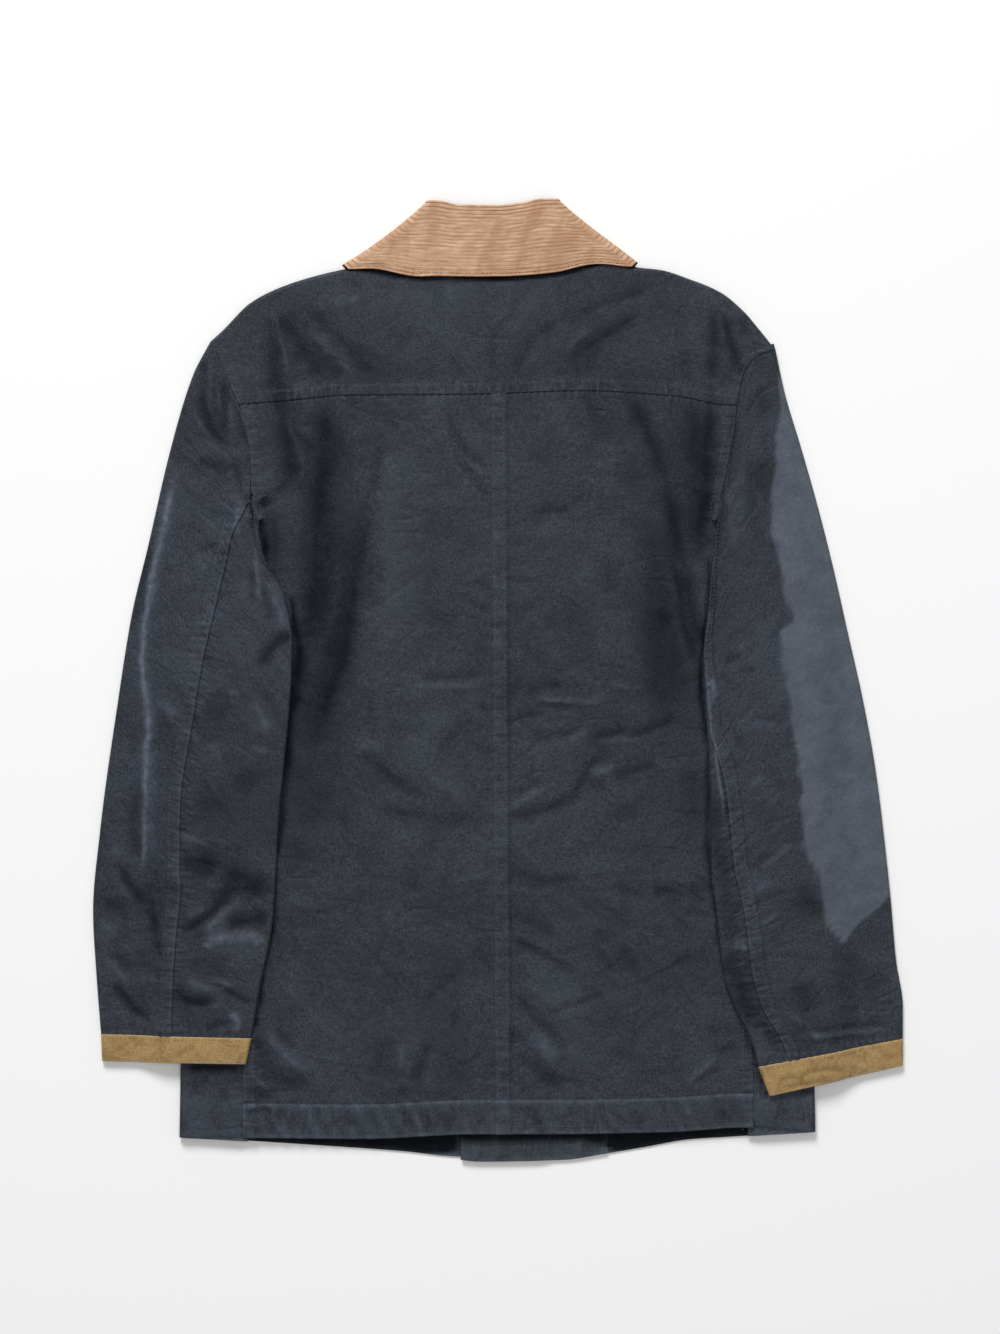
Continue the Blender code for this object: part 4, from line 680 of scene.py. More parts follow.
def add_mesh(name, points, faces, finish, cut=None, **layers):
    """A smooth mesh object with its place in its mesh. cut is the UV map, the cloth's own
    metres across and along, and each layer is an attribute with one number a point."""
    mesh = bpy.data.meshes.new(name)
    mesh.from_pydata((points * MM).tolist(), [], faces.tolist())
    mesh.materials.append(finish)
    for key, values in layers.items():
        layer = mesh.attributes.new(key, "FLOAT", "POINT")
        layer.data.foreach_set("value", values.astype(np.float32))
    if cut is not None:
        corner = np.empty(len(mesh.loops), np.int32)
        mesh.loops.foreach_get("vertex_index", corner)
        mesh.uv_layers.new(name="cut").uv.foreach_set("vector", (cut[corner] * MM).ravel())
    mesh.update()
    mesh.shade_smooth()
    made = bpy.data.objects.new(name, mesh)
    bpy.context.scene.collection.objects.link(made)
    return made


def shell(name, grid, finish, thickness, keep=None, flip=False, closed=False):
    """One wall of cloth on a grid. grid is (points, tone, cut, patch, gather), each in rows
    and columns, and keep says which quads are there. tone is how worn or lit by a painted
    highlight (above 0) or how deep in painted shade (below 0) a point is, patch how much of
    the paler cloth it has and gather how much fine puckers stand there: across the piece
    above 0 and along it below 0."""
    points, tone, cut, patch, gather = grid
    rows, columns = points.shape[:2]
    quads = grid_faces(rows, columns)
    if keep is not None:
        quads = quads[keep]
    quads = quads.reshape(-1, 4)
    if closed:
        seam = quads % columns == columns - 1
        quads = np.where(seam, quads - (columns - 1), quads)
    if flip:
        quads = quads[:, ::-1]
    used, quads = np.unique(quads, return_inverse=True)
    made = add_mesh(name, points.reshape(-1, 3)[used], quads.reshape(-1, 4), finish,
                    cut.reshape(-1, 2)[used], tone=np.clip(tone, -3.0, 1.0).ravel()[used],
                    patch=patch.ravel()[used], gather=gather.ravel()[used])
    wall = made.modifiers.new("Wall", "SOLIDIFY")
    wall.thickness = thickness
    wall.offset = -1.0
    wall.use_rim = True
    return made


def laid(piece, node):
    """The piece goes on the root body and takes the place of that node, whose part is hidden."""
    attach(piece, "root")
    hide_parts(node)


# ---------------------------------------------------------------- pieces

def plan_grid(x, y, height, tone):
    """A grid seen from above, whose cut is its plan."""
    return (together(x, y, height), tone, together(x, y), np.zeros_like(height),
            body_gather(x, y))


def body_gather(x, y):
    """Fine puckers of the back, the yoke and the fronts' sides: across beside the yoke's
    seam and on the hem, along beside the centre, side and armhole seams. Each is a bell
    with the distance from its seam."""
    from_yoke = y - y_at(YOKE_SEAM, x)
    above_hem = y - y_at(BACK_HEM, x)
    uneven = np.clip(0.55 + soft_noise(x, 0.0 * x, 30.0, 131), 0.05, 1.5)
    across = uneven * (bell(from_yoke - 3.0, 9.0) + 0.6 * smoothstep((36.0 - above_hem) / 8.0))
    up = y < y_at(YOKE_SEAM, x) + 2.0
    down = 0.5 * up * bell(x - centre_x(y), 13.0)
    down += 0.6 * (y > UNDERARM_Y) * bell(from_armhole(x, y) - 4.0, 9.0)
    down += 0.8 * (y < BELOW_CUFFS_Y) * bell(np.abs(x) - SIDE_SEAM_X, 12.0)
    return np.clip(across, 0.0, 1.0) - np.clip(down, 0.0, 1.0)


def back_surface(side, x, y, size):
    """Height and tone of half of the back, with its centre, side and armhole seams."""
    pucker = size.pucker / MM
    height, tone = back_relief(x, y, size.crease_share, pucker)
    from_centre = x - centre_x(y)
    if side > 0:
        away = from_centre + CENTRE_LAP
        height += lap_edge(away, CENTRE_BAND, 1.4)
        tone += 0.20 * bell(away, 1.2)
    band = bell(from_centre, 7.5, 4)
    tone += band * (0.04 + 0.08 * soft_noise(x, y, 6.0, 61))
    lap, worn = armhole_lap(x, y, pucker)
    height, tone = height + lap, tone + worn
    # the side seam, where the back lies over the front
    from_side = np.where(y < UNDERARM_Y - 2.0, BACK_EDGE_X - side * x, BODY_FAR)
    bare = smoothstep((BELOW_CUFFS_Y - y) / 30.0)
    height += lap_edge(from_side, SIDE_BAND, 0.9)
    height += 1.6 * pucker * bare * ripple(y, from_side, 8.0, 12.0, 67)
    tone = tone + 0.2 * bell(from_side, 1.4) + 0.06 * bell(from_side - 5, 5, 4)
    return height, tone


def back_grid(side, size):
    """Half of the back. Rows run from the hem to under the yoke. Columns run from the
    centre seam, where the right half laps over the left one, to the side and armhole."""
    pitch = size.pitch / MM
    reach = {-1: -TUCK, 1: CENTRE_LAP}[side]      # past the centre line, to the other half
    row = shares(655.0, pitch, lines=(HEM_BAND,))[:, None]
    column = shares(228.0, pitch, lines=(11.0,))[None, :]
    level = between(LOW_Y, YOKE_Y, row)
    outer = [(side * BACK_EDGE_X, LOW_Y), (side * BACK_EDGE_X, 110.0)]
    outer += [point for point in ARMHOLE[side][::-1] if point[1] < 262]
    x = between(centre_x(level) - side * reach, x_at(outer[::-1], level), column)
    y = y_at(BACK_HEM, x) * (1 - row) + (y_at(YOKE_SEAM, x) + TUCK) * row
    return plan_grid(x, y, *back_surface(side, x, y, size))


def yoke_grid(size):
    """The yoke, up the back, over the shoulder folds and a little way down the front."""
    pitch = size.pitch / MM
    bend = BODY_HEIGHT / 2 + 0.4
    column = shares(470.0, pitch)[None, :]
    row = shares(140.0, pitch, lines=(YOKE_BAND,))[:, None]
    ends = {-1: along(ARMHOLE[-1][3::-1], row[:, 0]), 1: along(ARMHOLE[1][4::-1], row[:, 0])}
    x = between(ends[-1][:, :1], ends[1][:, :1], column)
    crest = y_at(SHOULDER, x)
    seam = y_at(YOKE_SEAM, x)
    neck = np.abs(x[-1:]) < NECK_HALF
    y = seam * (1 - row) + (crest - np.where(neck, 0.0, bend)) * row
    for side, end in ((-1, 0), (1, -1)):
        beside = np.abs(column - (side < 0)) ** END_PULL
        target = ends[side][:, 1:] - bend * row
        y = y + (target - y[:, end:][:, :1]) * np.sin(np.pi * row) ** 0.5 * beside
    angle = np.linspace(0.0, np.pi, 9)[1:, None]
    last_x = x[-1:] + 0 * angle
    cap_y = y_at(SHOULDER, last_x) - bend * (1 - np.sin(angle))
    drop = between(bend, SHOULDER_TURN, np.linspace(0.0, 1.0, 6)[1:, None])
    end_y = y_at(SHOULDER, x[-1:, [0, -1]]) - drop
    turn_x = between(x_at(ARMHOLE[-1], end_y[:, :1]), x_at(ARMHOLE[1], end_y[:, 1:]), column)
    turn_y = y_at(SHOULDER, turn_x) - drop
    facing_up = np.concatenate([1.0 + 0 * crest, np.cos(angle) + 0 * last_x, -1.0 + 0 * turn_x])
    x = np.concatenate([x, last_x, turn_x])
    y = np.concatenate([y, cap_y, turn_y])
    top, tone = yoke_relief(x, y, size.crease_share, size.pucker / MM)
    lap, worn = armhole_lap(x, y, size.pucker / MM)
    bottom = neck_raise(x, y)
    height = bottom + (top + lap - bottom) * (facing_up + 1) / 2
    grid = plan_grid(x, y, height, tone + worn)
    rows = row.shape[0]
    cut = grid[2]
    folded = np.cumsum(np.hypot(np.diff(cut[rows - 1:, :, 1], axis=0),
                                np.diff(height[rows - 1:], axis=0)), axis=0)
    cut[rows:, :, 1] = cut[rows - 1, :, 1] + folded
    keep = np.ones((x.shape[0] - 1, x.shape[1] - 1), bool)
    keep[rows - 1:, neck[0, :-1] | neck[0, 1:]] = False
    return grid, keep


def front_bottom(x, y, side):
    """Height of a front's outer side: on the surface, on the wings or on the other front."""
    height = neck_raise(x, y)
    for end in (-1, 1):
        corner = ARMHOLE[end][-1]
        away = np.hypot(x - corner[0], y - corner[1])
        height += UNDERARM_LIFT * np.exp(-0.5 * (away / LIFT_REACH) ** 2)
    if side > 0:
        low, high = LAP_STEP
        height += (CLOTH + LAYER) * smoothstep((high - x) / (high - low))
    return height


def front_y(side, x, level, inset):
    """Rows run straight across, bent to the hem below and to the neck and shoulder above."""
    shoulder = y_at(SHOULDER, x) - SHOULDER_TURN - 1.0
    upper = np.where(np.abs(x) < NECK_HALF, y_at(FRONT_NECK, x), shoulder)
    near_hem = 1 - smoothstep((level - LOW_Y) / 120.0)
    near_top = smoothstep((level - WRAP_END_Y) / (FRONT_TOP_Y - WRAP_END_Y))
    return (level + (y_at(FRONT_HEM[side], x) + inset - LOW_Y) * near_hem
            + (upper - inset - FRONT_TOP_Y) * near_top)


def front_hem_tone(side, x, y):
    """Wear on the hem of a front and along its own edge."""
    above = y - y_at(FRONT_HEM[side], x)
    tone = 0.3 * bell(above, 3.0) + 0.12 * bell(above - HEM_BAND, 2.0)
    tone += 0.12 * smoothstep((HEM_BAND + 20.0 - above) / 10.0)
    edge = x + LAP if side > 0 else LAP - x
    return tone + 0.26 * bell(edge, 1.8)


def hem_shade(x, y):
    """Painted shadow below the back's hem, which hides what lies under it from the light."""
    reach, below = np.array(HEM_SHADE, float), y_at(BACK_HEM, x) - y
    deep = np.interp(x, reach[:, 0], reach[:, 1]) + 0.8 * soft_noise(x, 0.0 * x, 12.0, 29)
    return 1.05 * smoothstep((deep + 1.0 - below) / 2.0)


def front_levels(pitch):
    """Levels of a front's rows, up to where its side is wrapped and above that."""
    wrapped = between(LOW_Y, WRAP_END_Y, shares(WRAP_END_Y - LOW_Y, pitch))
    above = between(WRAP_END_Y, FRONT_TOP_Y, np.linspace(0.0, 1.0, 26)[1:])
    return np.concatenate([wrapped, above])[:, None], len(wrapped)


def front_grid(side, size):
    """A front, round the side fold from under the side seam and across the surface."""
    pitch = COARSE * size.pitch / MM
    level, wrapped = front_levels(pitch)
    turned = level <= WRAP_END_Y
    bend = BODY_HEIGHT / 2 + 0.2
    fold = x_at(SIDE_FOLD[side], np.minimum(level, WRAP_END_Y))
    armhole = [(side * (SIDE_SEAM_X + 1), WRAP_END_Y)]
    armhole += [point for point in ARMHOLE[side][::-1] if point[1] > 120]
    edge = x_at(armhole[::-1], level) - side * 1.2
    seam_x = side * (SIDE_SEAM_X - 3.0)
    top_x = between(seam_x, fold - side * bend, shares(56.0, 4.0)[None, :])
    angle = np.linspace(0.0, np.pi, 13)[None, 1:]
    cap_x = fold - side * bend * (1 - np.sin(angle))
    start = np.where(turned, fold - side * bend, edge)
    cap_x[:, -1:] = start
    floor_x = between(start, -side * LAP, shares(300.0, pitch)[None, 1:])
    x = np.concatenate([top_x, cap_x, floor_x], axis=1)
    facing_up = np.concatenate([1.0 + 0 * top_x, np.cos(angle) + 0 * fold, -1.0 + 0 * floor_x],
                               axis=1)
    y = front_y(side, x, level, 0.0)
    bottom = front_bottom(x, y, side)
    top, tone = body_relief(x, y, size.crease_share)
    from_seam = side * x - SIDE_SEAM_X
    top -= 1.1 * smoothstep((2.5 - from_seam) / 3.0)
    over_hem = y - y_at(BACK_HEM, x)
    pucker = size.pucker / MM
    top += 1.6 * pucker * ripple(y, from_seam, 8.0, 14.0, 71)
    top = top + 0.5 * smoothstep((HEM_BAND + 1.0 - over_hem) / 2.5) - rolled(over_hem, 1.1)
    above = (facing_up + 1) / 2
    height = between(bottom, top, above)
    inner = 0.35 * pucker * ripple(x, y - y_at(FRONT_HEM[side], x), 9.0, 30.0, 73)
    height += np.where(facing_up < -0.99, np.abs(inner), 0.0)
    # the inner side gets the painted shadow below the back's hem
    tone = tone * above + front_hem_tone(side, x, y) - (1 - above) * hem_shade(x, y)
    across = np.concatenate([[[0.0]], np.hypot(np.diff(x[:1]), np.diff(height[:1]))], axis=1)
    cut = together(np.cumsum(across, axis=1) + 0 * y, y)
    keep = np.ones((x.shape[0] - 1, x.shape[1] - 1), bool)
    keep[wrapped - 1:, :top_x.shape[1] + cap_x.shape[1] - 1] = False
    return (together(x, y, height), tone, cut, 0 * height, body_gather(x, y) * above), keep


def facing_grid(size):
    """The facing, on the inner side of the right front, with its own rolled edges."""
    pitch = COARSE * size.pitch / MM
    level = front_levels(pitch)[0]
    x = between(-LAP, FACING_X, shares(FACING_X + LAP, pitch)[None, :]) + 0 * level
    y = front_y(1, x, level, 0.3)
    height = front_bottom(x, y, 1) + CLOTH + LAYER
    above = y - y_at(FRONT_HEM[1], x)
    height -= 0.3 * (rolled(above, 1.0) + rolled(FACING_X - x, 1.0) + rolled(x + LAP, 1.0))
    wave = ripple(x, above, 9.0, 30.0, 79)
    height += 0.5 * size.pucker / MM * np.abs(wave)
    # wear on the edges, painted light and shade on the puckers, and the painted shadow below the
    # back's hem
    tone = front_hem_tone(1, x, y) + 0.5 * bell(FACING_X - x, 1.6) + 0.1 * wave
    tone -= hem_shade(x, y)
    return plan_grid(x, y, height, tone)


def tube_point(place, width, bend):
    """Place round a flat tube: across it in millimetres, and 1 on top to -1 below.

    0 to 1 is the outer fold's upper half, 1 to 2 the top, 2 to 4 the inner fold, 4 to 5 the
    underside and 5 to 6 the outer fold's lower half. The folds are half circles.
    """
    place = np.mod(place, FULL_TURN)
    angle = place * np.pi / 2
    parts = [place < 1, place < 2, place < 4, place < 5]
    flat = width - 2 * bend
    across = np.select(parts, [bend * (1 - np.cos(angle)), bend + (place - 1) * flat,
                               width - bend - bend * np.sin(angle),
                               width - bend - (place - 4) * flat],
                       bend * (1 - np.sin(angle - np.pi / 2)))
    level = np.select(parts, [np.sin(angle), 1.0 + 0 * angle, -np.cos(angle),
                              -1.0 + 0 * angle], -np.cos(angle - np.pi / 2))
    return across, level


def sleeve_bottom(x, y, side):
    """Height of what a sleeve lies on: the body, then a soft fall to the surface."""
    out = side * (x - x_at(SIDE_FOLD[side], y))
    away = np.hypot(np.maximum(out, 0.0), np.maximum(y - UNDERARM_Y, 0.0)) - LEDGE
    return (BODY_HEIGHT + LAYER) * smoothstep(1.0 - away / DRAPE)


def arm_seam(side, share):
    """Place of the sleeve's back seam round the tube."""
    table = np.array(BACK_ARM_SEAM[side])
    return soft_curve(table[:, 0], table[:, 1], share)


def round_tube(place):
    """Millimetres round the tube from the top's inner end to a place."""
    return np.where(place < 2.0, (place - 2.0) * FLAT_LENGTH, (place - 2.0) * FOLD_LENGTH)


def place_at(length):
    """The place that lies those millimetres round the tube from the top's inner end."""
    return 2.0 + np.where(length < 0.0, length / FLAT_LENGTH, length / FOLD_LENGTH)


def in_patch(x, y):
    """1 on the paler cloth, with an edge that is uneven by a few millimetres."""
    edge = np.array(PATCH_EDGE, float)
    lowest = int(np.argmin(edge[:, 1]))
    uneven = 1.2 * soft_noise(x, y, 9.0, 83) + 0.5 * soft_noise(x, y, 3.0, 84)
    left = x_at(edge[:lowest + 1], y)
    beside = smoothstep((x - left + uneven + 1.6) / 3.2)
    below = np.interp(x, edge[lowest:, 0], edge[lowest:, 1])
    under = np.where(x > edge[lowest, 0], smoothstep((y - below + uneven + 1.6) / 3.2), 1.0)
    top = smoothstep((274.0 - y + 2.0 * uneven) / 14.0)
    return np.where(y > edge[lowest, 1], beside, 0.0) * under * top


def sleeve_grid(side, share, place, size):
    """Points of a sleeve: share of its length in rows, place round it in columns. Below 0
    the share counts the rows tucked in under the armhole's edge."""
    inside = np.clip(share, 0.0, 1.0)
    outer = along(SLEEVE_OUTER[side], inside[:, 0])
    inner = along(SLEEVE_INNER[side], inside[:, 0])
    tall = between(SLEEVE_HEIGHT, SLEEVE_HEAD, 1 - smoothstep(inside / 0.25))
    width = np.hypot(*(inner - outer).T)[:, None]
    across, level = tube_point(place, width, tall / 2)
    part = across / width
    chord = between(outer[:, None, :], inner[:, None, :], part[..., None])
    straight = between(np.array(SLEEVE_OUTER[side][0]), np.array(SLEEVE_INNER[side][0]),
                       part[..., None])
    bow = (along(ARMHOLE[side], part) - straight) * (1 - smoothstep(inside / 0.4))[..., None]
    before, after = (along(ARMHOLE[side], np.clip(part + step, 0, 1)) for step in (-0.01, 0.01))
    ahead = after - before
    ahead /= np.maximum(np.hypot(ahead[..., :1], ahead[..., 1:]), 1e-6)
    inwards = side * together(ahead[..., 1], -ahead[..., 0])
    tucked = np.maximum(-share, 0.0)[..., None] * SLEEVE_LENGTH
    x, y = np.moveaxis(chord + bow + inwards * tucked, -1, 0)
    bottom = sleeve_bottom(x, y, side)
    up = np.clip(level, 0.0, 1.0)
    fade = smoothstep(inside / 0.02) * smoothstep((1 - inside) / 0.012) * up
    folds = fade * creases(SLEEVE_CREASES[side], x, y, size.crease_share)
    folds = np.where(folds < 0, -3.2 * (1.0 - np.exp(folds / 3.2)), folds)
    height = bottom + tall * (level + 1) / 2 + folds + fade * 1.2 * rumple(x, y, 90 + side)
    # at the armhole the top comes in from under the body's edge
    from_head = share * SLEEVE_LENGTH
    near = 1 - smoothstep(from_head / 16.0)
    height += up * near * (SLEEVE_SEAT - (bottom + tall))
    # painted shade in the folds' troughs, and wear with a painted highlight on their ridges
    tone = fold_tone(np.where(folds < 0, 1.6, 1.1) * folds)
    pucker = size.pucker / MM
    height += up * 1.8 * pucker * ripple(y, from_head, 6.0, 12.0, 97)
    # painted light and shade on the puckers below the head
    tone += up * 0.18 * ripple(y, from_head, 6.0, 10.0, 97)
    # the cuff's seam
    to_cuff = (1 - share) * SLEEVE_LENGTH
    height += up * 1.8 * pucker * ripple(x, to_cuff, 6.5, 10.0, 101)
    cut = together(np.interp(place, *CUT_ROUND) + 0 * share, -SLEEVE_LENGTH * share + 0 * place)
    patch = in_patch(x, y) * smoothstep((level + 0.9) / 0.4) if side > 0 else 0.0 * x
    gather = 0.9 * up * (bell(to_cuff, 12.0) - bell(from_head, 13.0))
    return together(x, y, height), tone, cut, patch, gather


def sleeve_rows(size):
    """Shares of a sleeve's length, from under the armhole's edge to the cuff."""
    return np.concatenate([[-0.009, -0.005], shares(SLEEVE_LENGTH, size.pitch / MM)])[:, None]


def seam_ridge(grid, from_seam, size, over):
    """Adds the back-arm seam to a sleeve piece: the piece on top laps over the other by a
    felled band, puckered and worn along its edge."""
    points, tone, cut, patch, gather = grid
    y = points[..., 1]
    near = bell(from_seam, 9.0)
    gather -= (1 - np.abs(gather)) * bell(from_seam - 2.0, 6.5)
    points[..., 2] += 1.6 * size.pucker / MM * ripple(y, from_seam, 7.0, 11.0, 103)
    if over:
        points[..., 2] += lap_edge(from_seam, SLEEVE_BAND, 1.1)
        tone = tone + 0.22 * bell(from_seam, 1.3) + 0.08 * near
        # painted light and shade on the puckers beside the edge
        tone += 0.09 * near * waves(y, 7.0, 103)
    return points, tone, cut, patch, gather


def sleeve_upper_grid(side, size):
    """The sleeve's outer piece, round the outer fold between the two arm seams."""
    share = sleeve_rows(size)
    start = round_tube(arm_seam(side, np.clip(share, 0, 1)))
    across = shares(78.0, size.pitch / MM, lines=(SLEEVE_BAND,))[None, :]
    top = place_at(between(start, round_tube(1.0), across))
    fold = np.linspace(1.0, -1.0, 13)[None, 1:] + 0 * share
    end = FRONT_ARM_SEAM - FULL_TURN
    under = between(-1.0, end, np.linspace(0, 1, 15)[None, 1:]) + 0 * share
    place = np.concatenate([top, fold, under], axis=1)
    grid = sleeve_grid(side, share, place, size)
    from_seam = start - round_tube(place)
    return seam_ridge(grid, np.where(place > 0, from_seam, SLEEVE_FAR), size, over=True)


def sleeve_under_grid(side, size):
    """The sleeve's inner piece, from under the back seam round the inner fold."""
    share = sleeve_rows(size)
    start = round_tube(arm_seam(side, np.clip(share, 0, 1)))
    across = shares(60.0, size.pitch / MM)[None, :]
    round_top = place_at(between(start - TUCK, round_tube(3.0), across))
    fold = 3.0 + np.linspace(0, 1, 9)[None, 1:] + 0 * share
    under = between(4.0, FRONT_ARM_SEAM, np.linspace(0, 1, 8)[None, 1:]) + 0 * share
    place = np.concatenate([round_top, fold, under], axis=1)
    grid = sleeve_grid(side, share, place, size)
    from_seam = np.where(place <= 3.0, round_tube(place) - start, SLEEVE_FAR)
    points, tone, cut, patch, gather = seam_ridge(grid, from_seam, size, over=False)
    points[..., 2] -= 0.9 * smoothstep((2.0 - from_seam) / 3.0)
    return points, tone, cut, patch, gather


def cuff_grid(side, size):
    """The cuff: a flat tube below the sleeve, whose upper edge laps over the sleeve."""
    row = shares(CUFF_BAND, 1.6)[:, None, None]
    outer, inner = (between(*np.array([edge[side][-1], end], float), row)
                    for edge, end in zip((SLEEVE_OUTER, SLEEVE_INNER), CUFF_END[side]))
    width = np.hypot(*np.moveaxis(inner - outer, -1, 0))
    top = 1.0 + np.linspace(0, 1, int(CUFF_TOP / (size.pitch / MM)))
    place = np.concatenate([np.linspace(0, 1, 7)[:-1], top[:-1], np.linspace(2, 4, 13)[:-1],
                            np.linspace(4, 5, 30)[:-1], np.linspace(5, 6, 7)])[None, :]
    across, level = tube_point(place, width, CUFF_HEIGHT / 2)
    x, y = np.moveaxis(between(outer, inner, (across / width)[..., None]), -1, 0)
    down = row[..., 0] * CUFF_BAND
    up = np.clip(level, 0.0, 1.0)
    folds = up * creases(CUFF_CREASES[side], x, y, size.crease_share)
    pucker = size.pucker / MM
    beside = bell(down - 2.5, 4.0) + bell(down - CUFF_BAND + 3.0, 4.0)
    puckers = beside * waves(across, 5.5, 107)
    swell = 0.5 * np.sin(np.pi * row[..., 0]) - rolled(down, 0.8) - rolled(CUFF_BAND - down, 0.9)
    height = (sleeve_bottom(x, y, side) + CUFF_HEIGHT * (level + 1) / 2 + folds
              + up * (swell + 1.6 * pucker * puckers + 0.4 * rumple(x, y, 109)))
    # painted shade in the creases' hollows, wear and a painted highlight on their ridges, painted
    # light and shade on the puckers, and wear on both edges
    tone = (0.4 * folds + 0.14 * up * puckers
            + 0.5 * bell(down, 1.2) + 0.6 * bell(CUFF_BAND - down, 1.4))
    cut = together(np.interp(place, *CUT_ROUND) + 0 * x, -down + 0 * x)
    return together(x, y, height), tone, cut, 0 * height, up * beside


def wale(share):
    """Profile across the cords: the square root of |sin|, which is broad and round on top and
    leaves a narrow groove between two cords."""
    return np.abs(np.sin(np.pi * WALES * share)) ** 0.5


def collar_points(share, depth, turn):
    """Points of the collar fall at a depth below its outer side, and how far each faces up.
    Rows go from the roll to the lower edge, and turn is how far a row has gone round the
    roll, in radians. Columns go from the left wing's front end, round the left fold, across
    the back and round to the right wing's front end."""
    wing, fold, back = COLLAR_COLUMNS
    bend = COLLAR_TOP / 2
    radius = COLLAR_TURN
    legs = {}
    lean = smoothstep(share / 0.35)[..., None]
    tight = 1.0 - radius * (1.0 - np.cos(turn)) / bend
    for side in (-1, 1):
        side_point, wing_end = (along(edge[side], share[:, 0])[:, None, :]
                                for edge in (COLLAR_SIDE, WING_FRONT))
        step = np.linspace(0, 1, wing + 1)[None, :-1, None]
        start = side_point - np.concatenate([side * bend + 0 * lean, 0.6 * bend * lean], -1)
        plan = between(wing_end, start, step)
        leg = np.concatenate([plan, depth[..., None] + 0 * plan[..., :1]], axis=-1)
        angle = np.linspace(-np.pi / 2, np.pi / 2, fold)[None, :]
        reach = (bend - depth) * np.cos(angle) * tight
        out = np.concatenate([side * (1.0 - 0.16 * lean), 0.84 * lean], axis=-1)
        cap_plan = start + reach[..., None] * out
        cap_z = bend + (bend - depth) * np.sin(angle)
        cap = np.concatenate([cap_plan, cap_z[..., None]], axis=-1)
        legs[side] = np.concatenate([leg, cap], axis=1)
    step = np.linspace(0, 1, back + 1)[None, 1:-1]
    start, end = legs[-1][:, -1:], legs[1][:, -1:]
    x = between(start[..., 0], end[..., 0], step)
    y = y_at(COLLAR_ROLL, x) * (1 - share) + y_at(COLLAR_EDGE, x) * share
    blend = smoothstep(np.minimum(step, 1 - step) / 0.22)
    y = between(start[..., 1], end[..., 1], step) * (1 - blend) + y * blend
    top = together(x, y, COLLAR_TOP - depth + 0 * x)
    points = np.concatenate([legs[-1], top, legs[1][:, ::-1]], axis=1)
    facing_up = np.clip((points[..., 2] - bend) / (bend - depth), -1.0, 1.0)
    points[..., 1] -= radius * (1 - np.sin(turn)) * (1 - share)
    points[..., 2] -= facing_up * radius * (1 - np.cos(turn))
    return points, facing_up


def collar_fall_grid(size):
    """The collar fall: cords along it, a soft wave, and the roll at its top."""
    rows_down = np.linspace(0.0, 1.0, 8 * WALES + 1)
    rows_round = np.linspace(1.9, 0.0, 10)[:-1]
    share = np.concatenate([0 * rows_round, rows_down])[:, None]
    turn = np.concatenate([rows_round, 0 * rows_down])[:, None]
    cord = wale(np.concatenate([rows_round * COLLAR_TURN / 65.0, rows_down]))[:, None]
    depth = size.wale / MM * (1.0 - cord)
    points, facing_up = collar_points(share, depth, turn)
    x, y = points[..., 0], points[..., 1]
    down = share * COLLAR_DEPTH
    from_edge = COLLAR_DEPTH - down
    up = np.clip(facing_up, 0.0, 1.0)
    wave = (0.5 * soft_noise(x, 2.0 * y, 34.0, 113) + 0.25 * soft_noise(x, y, 12.0, 114)
            + creases(COLLAR_CREASES, x, y, size.crease_share))
    stitch = bell(from_edge - COLLAR_SEAM, 1.2)
    pucker = size.pucker / MM * bell(from_edge - 4.0, 5.0)
    points[..., 2] += up * (wave - 0.35 * stitch - rolled(from_edge, 1.3)
                            + 1.5 * pucker * waves(x, 6.5, 115))
    points[..., 1] += up * 0.35 * soft_noise(x, y, 18.0, 116)
    # the grooves, darker by their own colour and by painted shade, show near the roll, along the
    # stitches and at the right end
    near_edges = bell(down, 9.0) + bell(from_edge - 4.0, 4.0)
    near_edges = near_edges + 0.5 * smoothstep((x - 50.0) / 30.0)
    faint = 0.44 + 0.5 * near_edges + 0.24 * soft_noise(x, 3.0 * y, 16.0, 117)
    tone = 1.0 - 2.0 * (1.0 - cord) * np.clip(faint, 0.05, 1.0) + 0.0 * x
    # painted shadow on the rim under the lower edge
    tone -= 4.0 * smoothstep(1.0 - from_edge / 1.8)
    return points, tone, together(x, -down + 0 * x), 0 * x, 0 * x


def collar_stand_grid():
    """The stand: a band inside the neck, from the roll to the neck seam."""
    share = np.linspace(0.0, 1.0, 13)[:, None]
    low, high = NECK_RAISE, COLLAR_TOP - CORDUROY - LAYER
    bend = (high - low) / 2
    legs = {}
    (roll_x, roll_y), (neck_x, neck_y) = STAND_FOLD
    for side in (-1, 1):
        fold_x, fold_y = side * between(roll_x, neck_x, share), between(roll_y, neck_y, share)
        step = np.linspace(0, 1, 21)[None, :-1]
        start_x = fold_x - side * bend
        x = between(side * WING_END_X, start_x, step)
        above = 2.0 + STAND_FRONT * (1 - share)
        rise = fold_y - y_at(FRONT_NECK, start_x) - above
        y = y_at(FRONT_NECK, x) + above + rise * step ** 2
        angle = np.linspace(-np.pi / 2, np.pi / 2, 9)[None, :]
        cap_x = start_x + side * bend * np.cos(angle)
        cap_z = low + bend + bend * np.sin(angle) + 0 * cap_x
        legs[side] = np.concatenate([together(x, y, low + 0 * x),
                                     together(cap_x, fold_y + 0 * cap_x, cap_z)], axis=1)
    start, end = legs[-1][:, -1:], legs[1][:, -1:]
    step = np.linspace(0, 1, 40)[None, 1:-1]
    x = between(start[..., 0], end[..., 0], step)
    y = (y_at(SHOULDER, x) + 0.7) * share + (y_at(COLLAR_ROLL, x) - 3.5) * (1 - share)
    top = together(x, y, high + 0 * x)
    points = np.concatenate([legs[-1], top, legs[1][:, ::-1]], axis=1)
    cut = points[..., :2] + 0.0
    plain = np.zeros(cut.shape[:2])
    return points, 0.1 * rumple(cut[..., 0], cut[..., 1], 119), cut, plain, plain


# ---------------------------------------------------------------- stitching

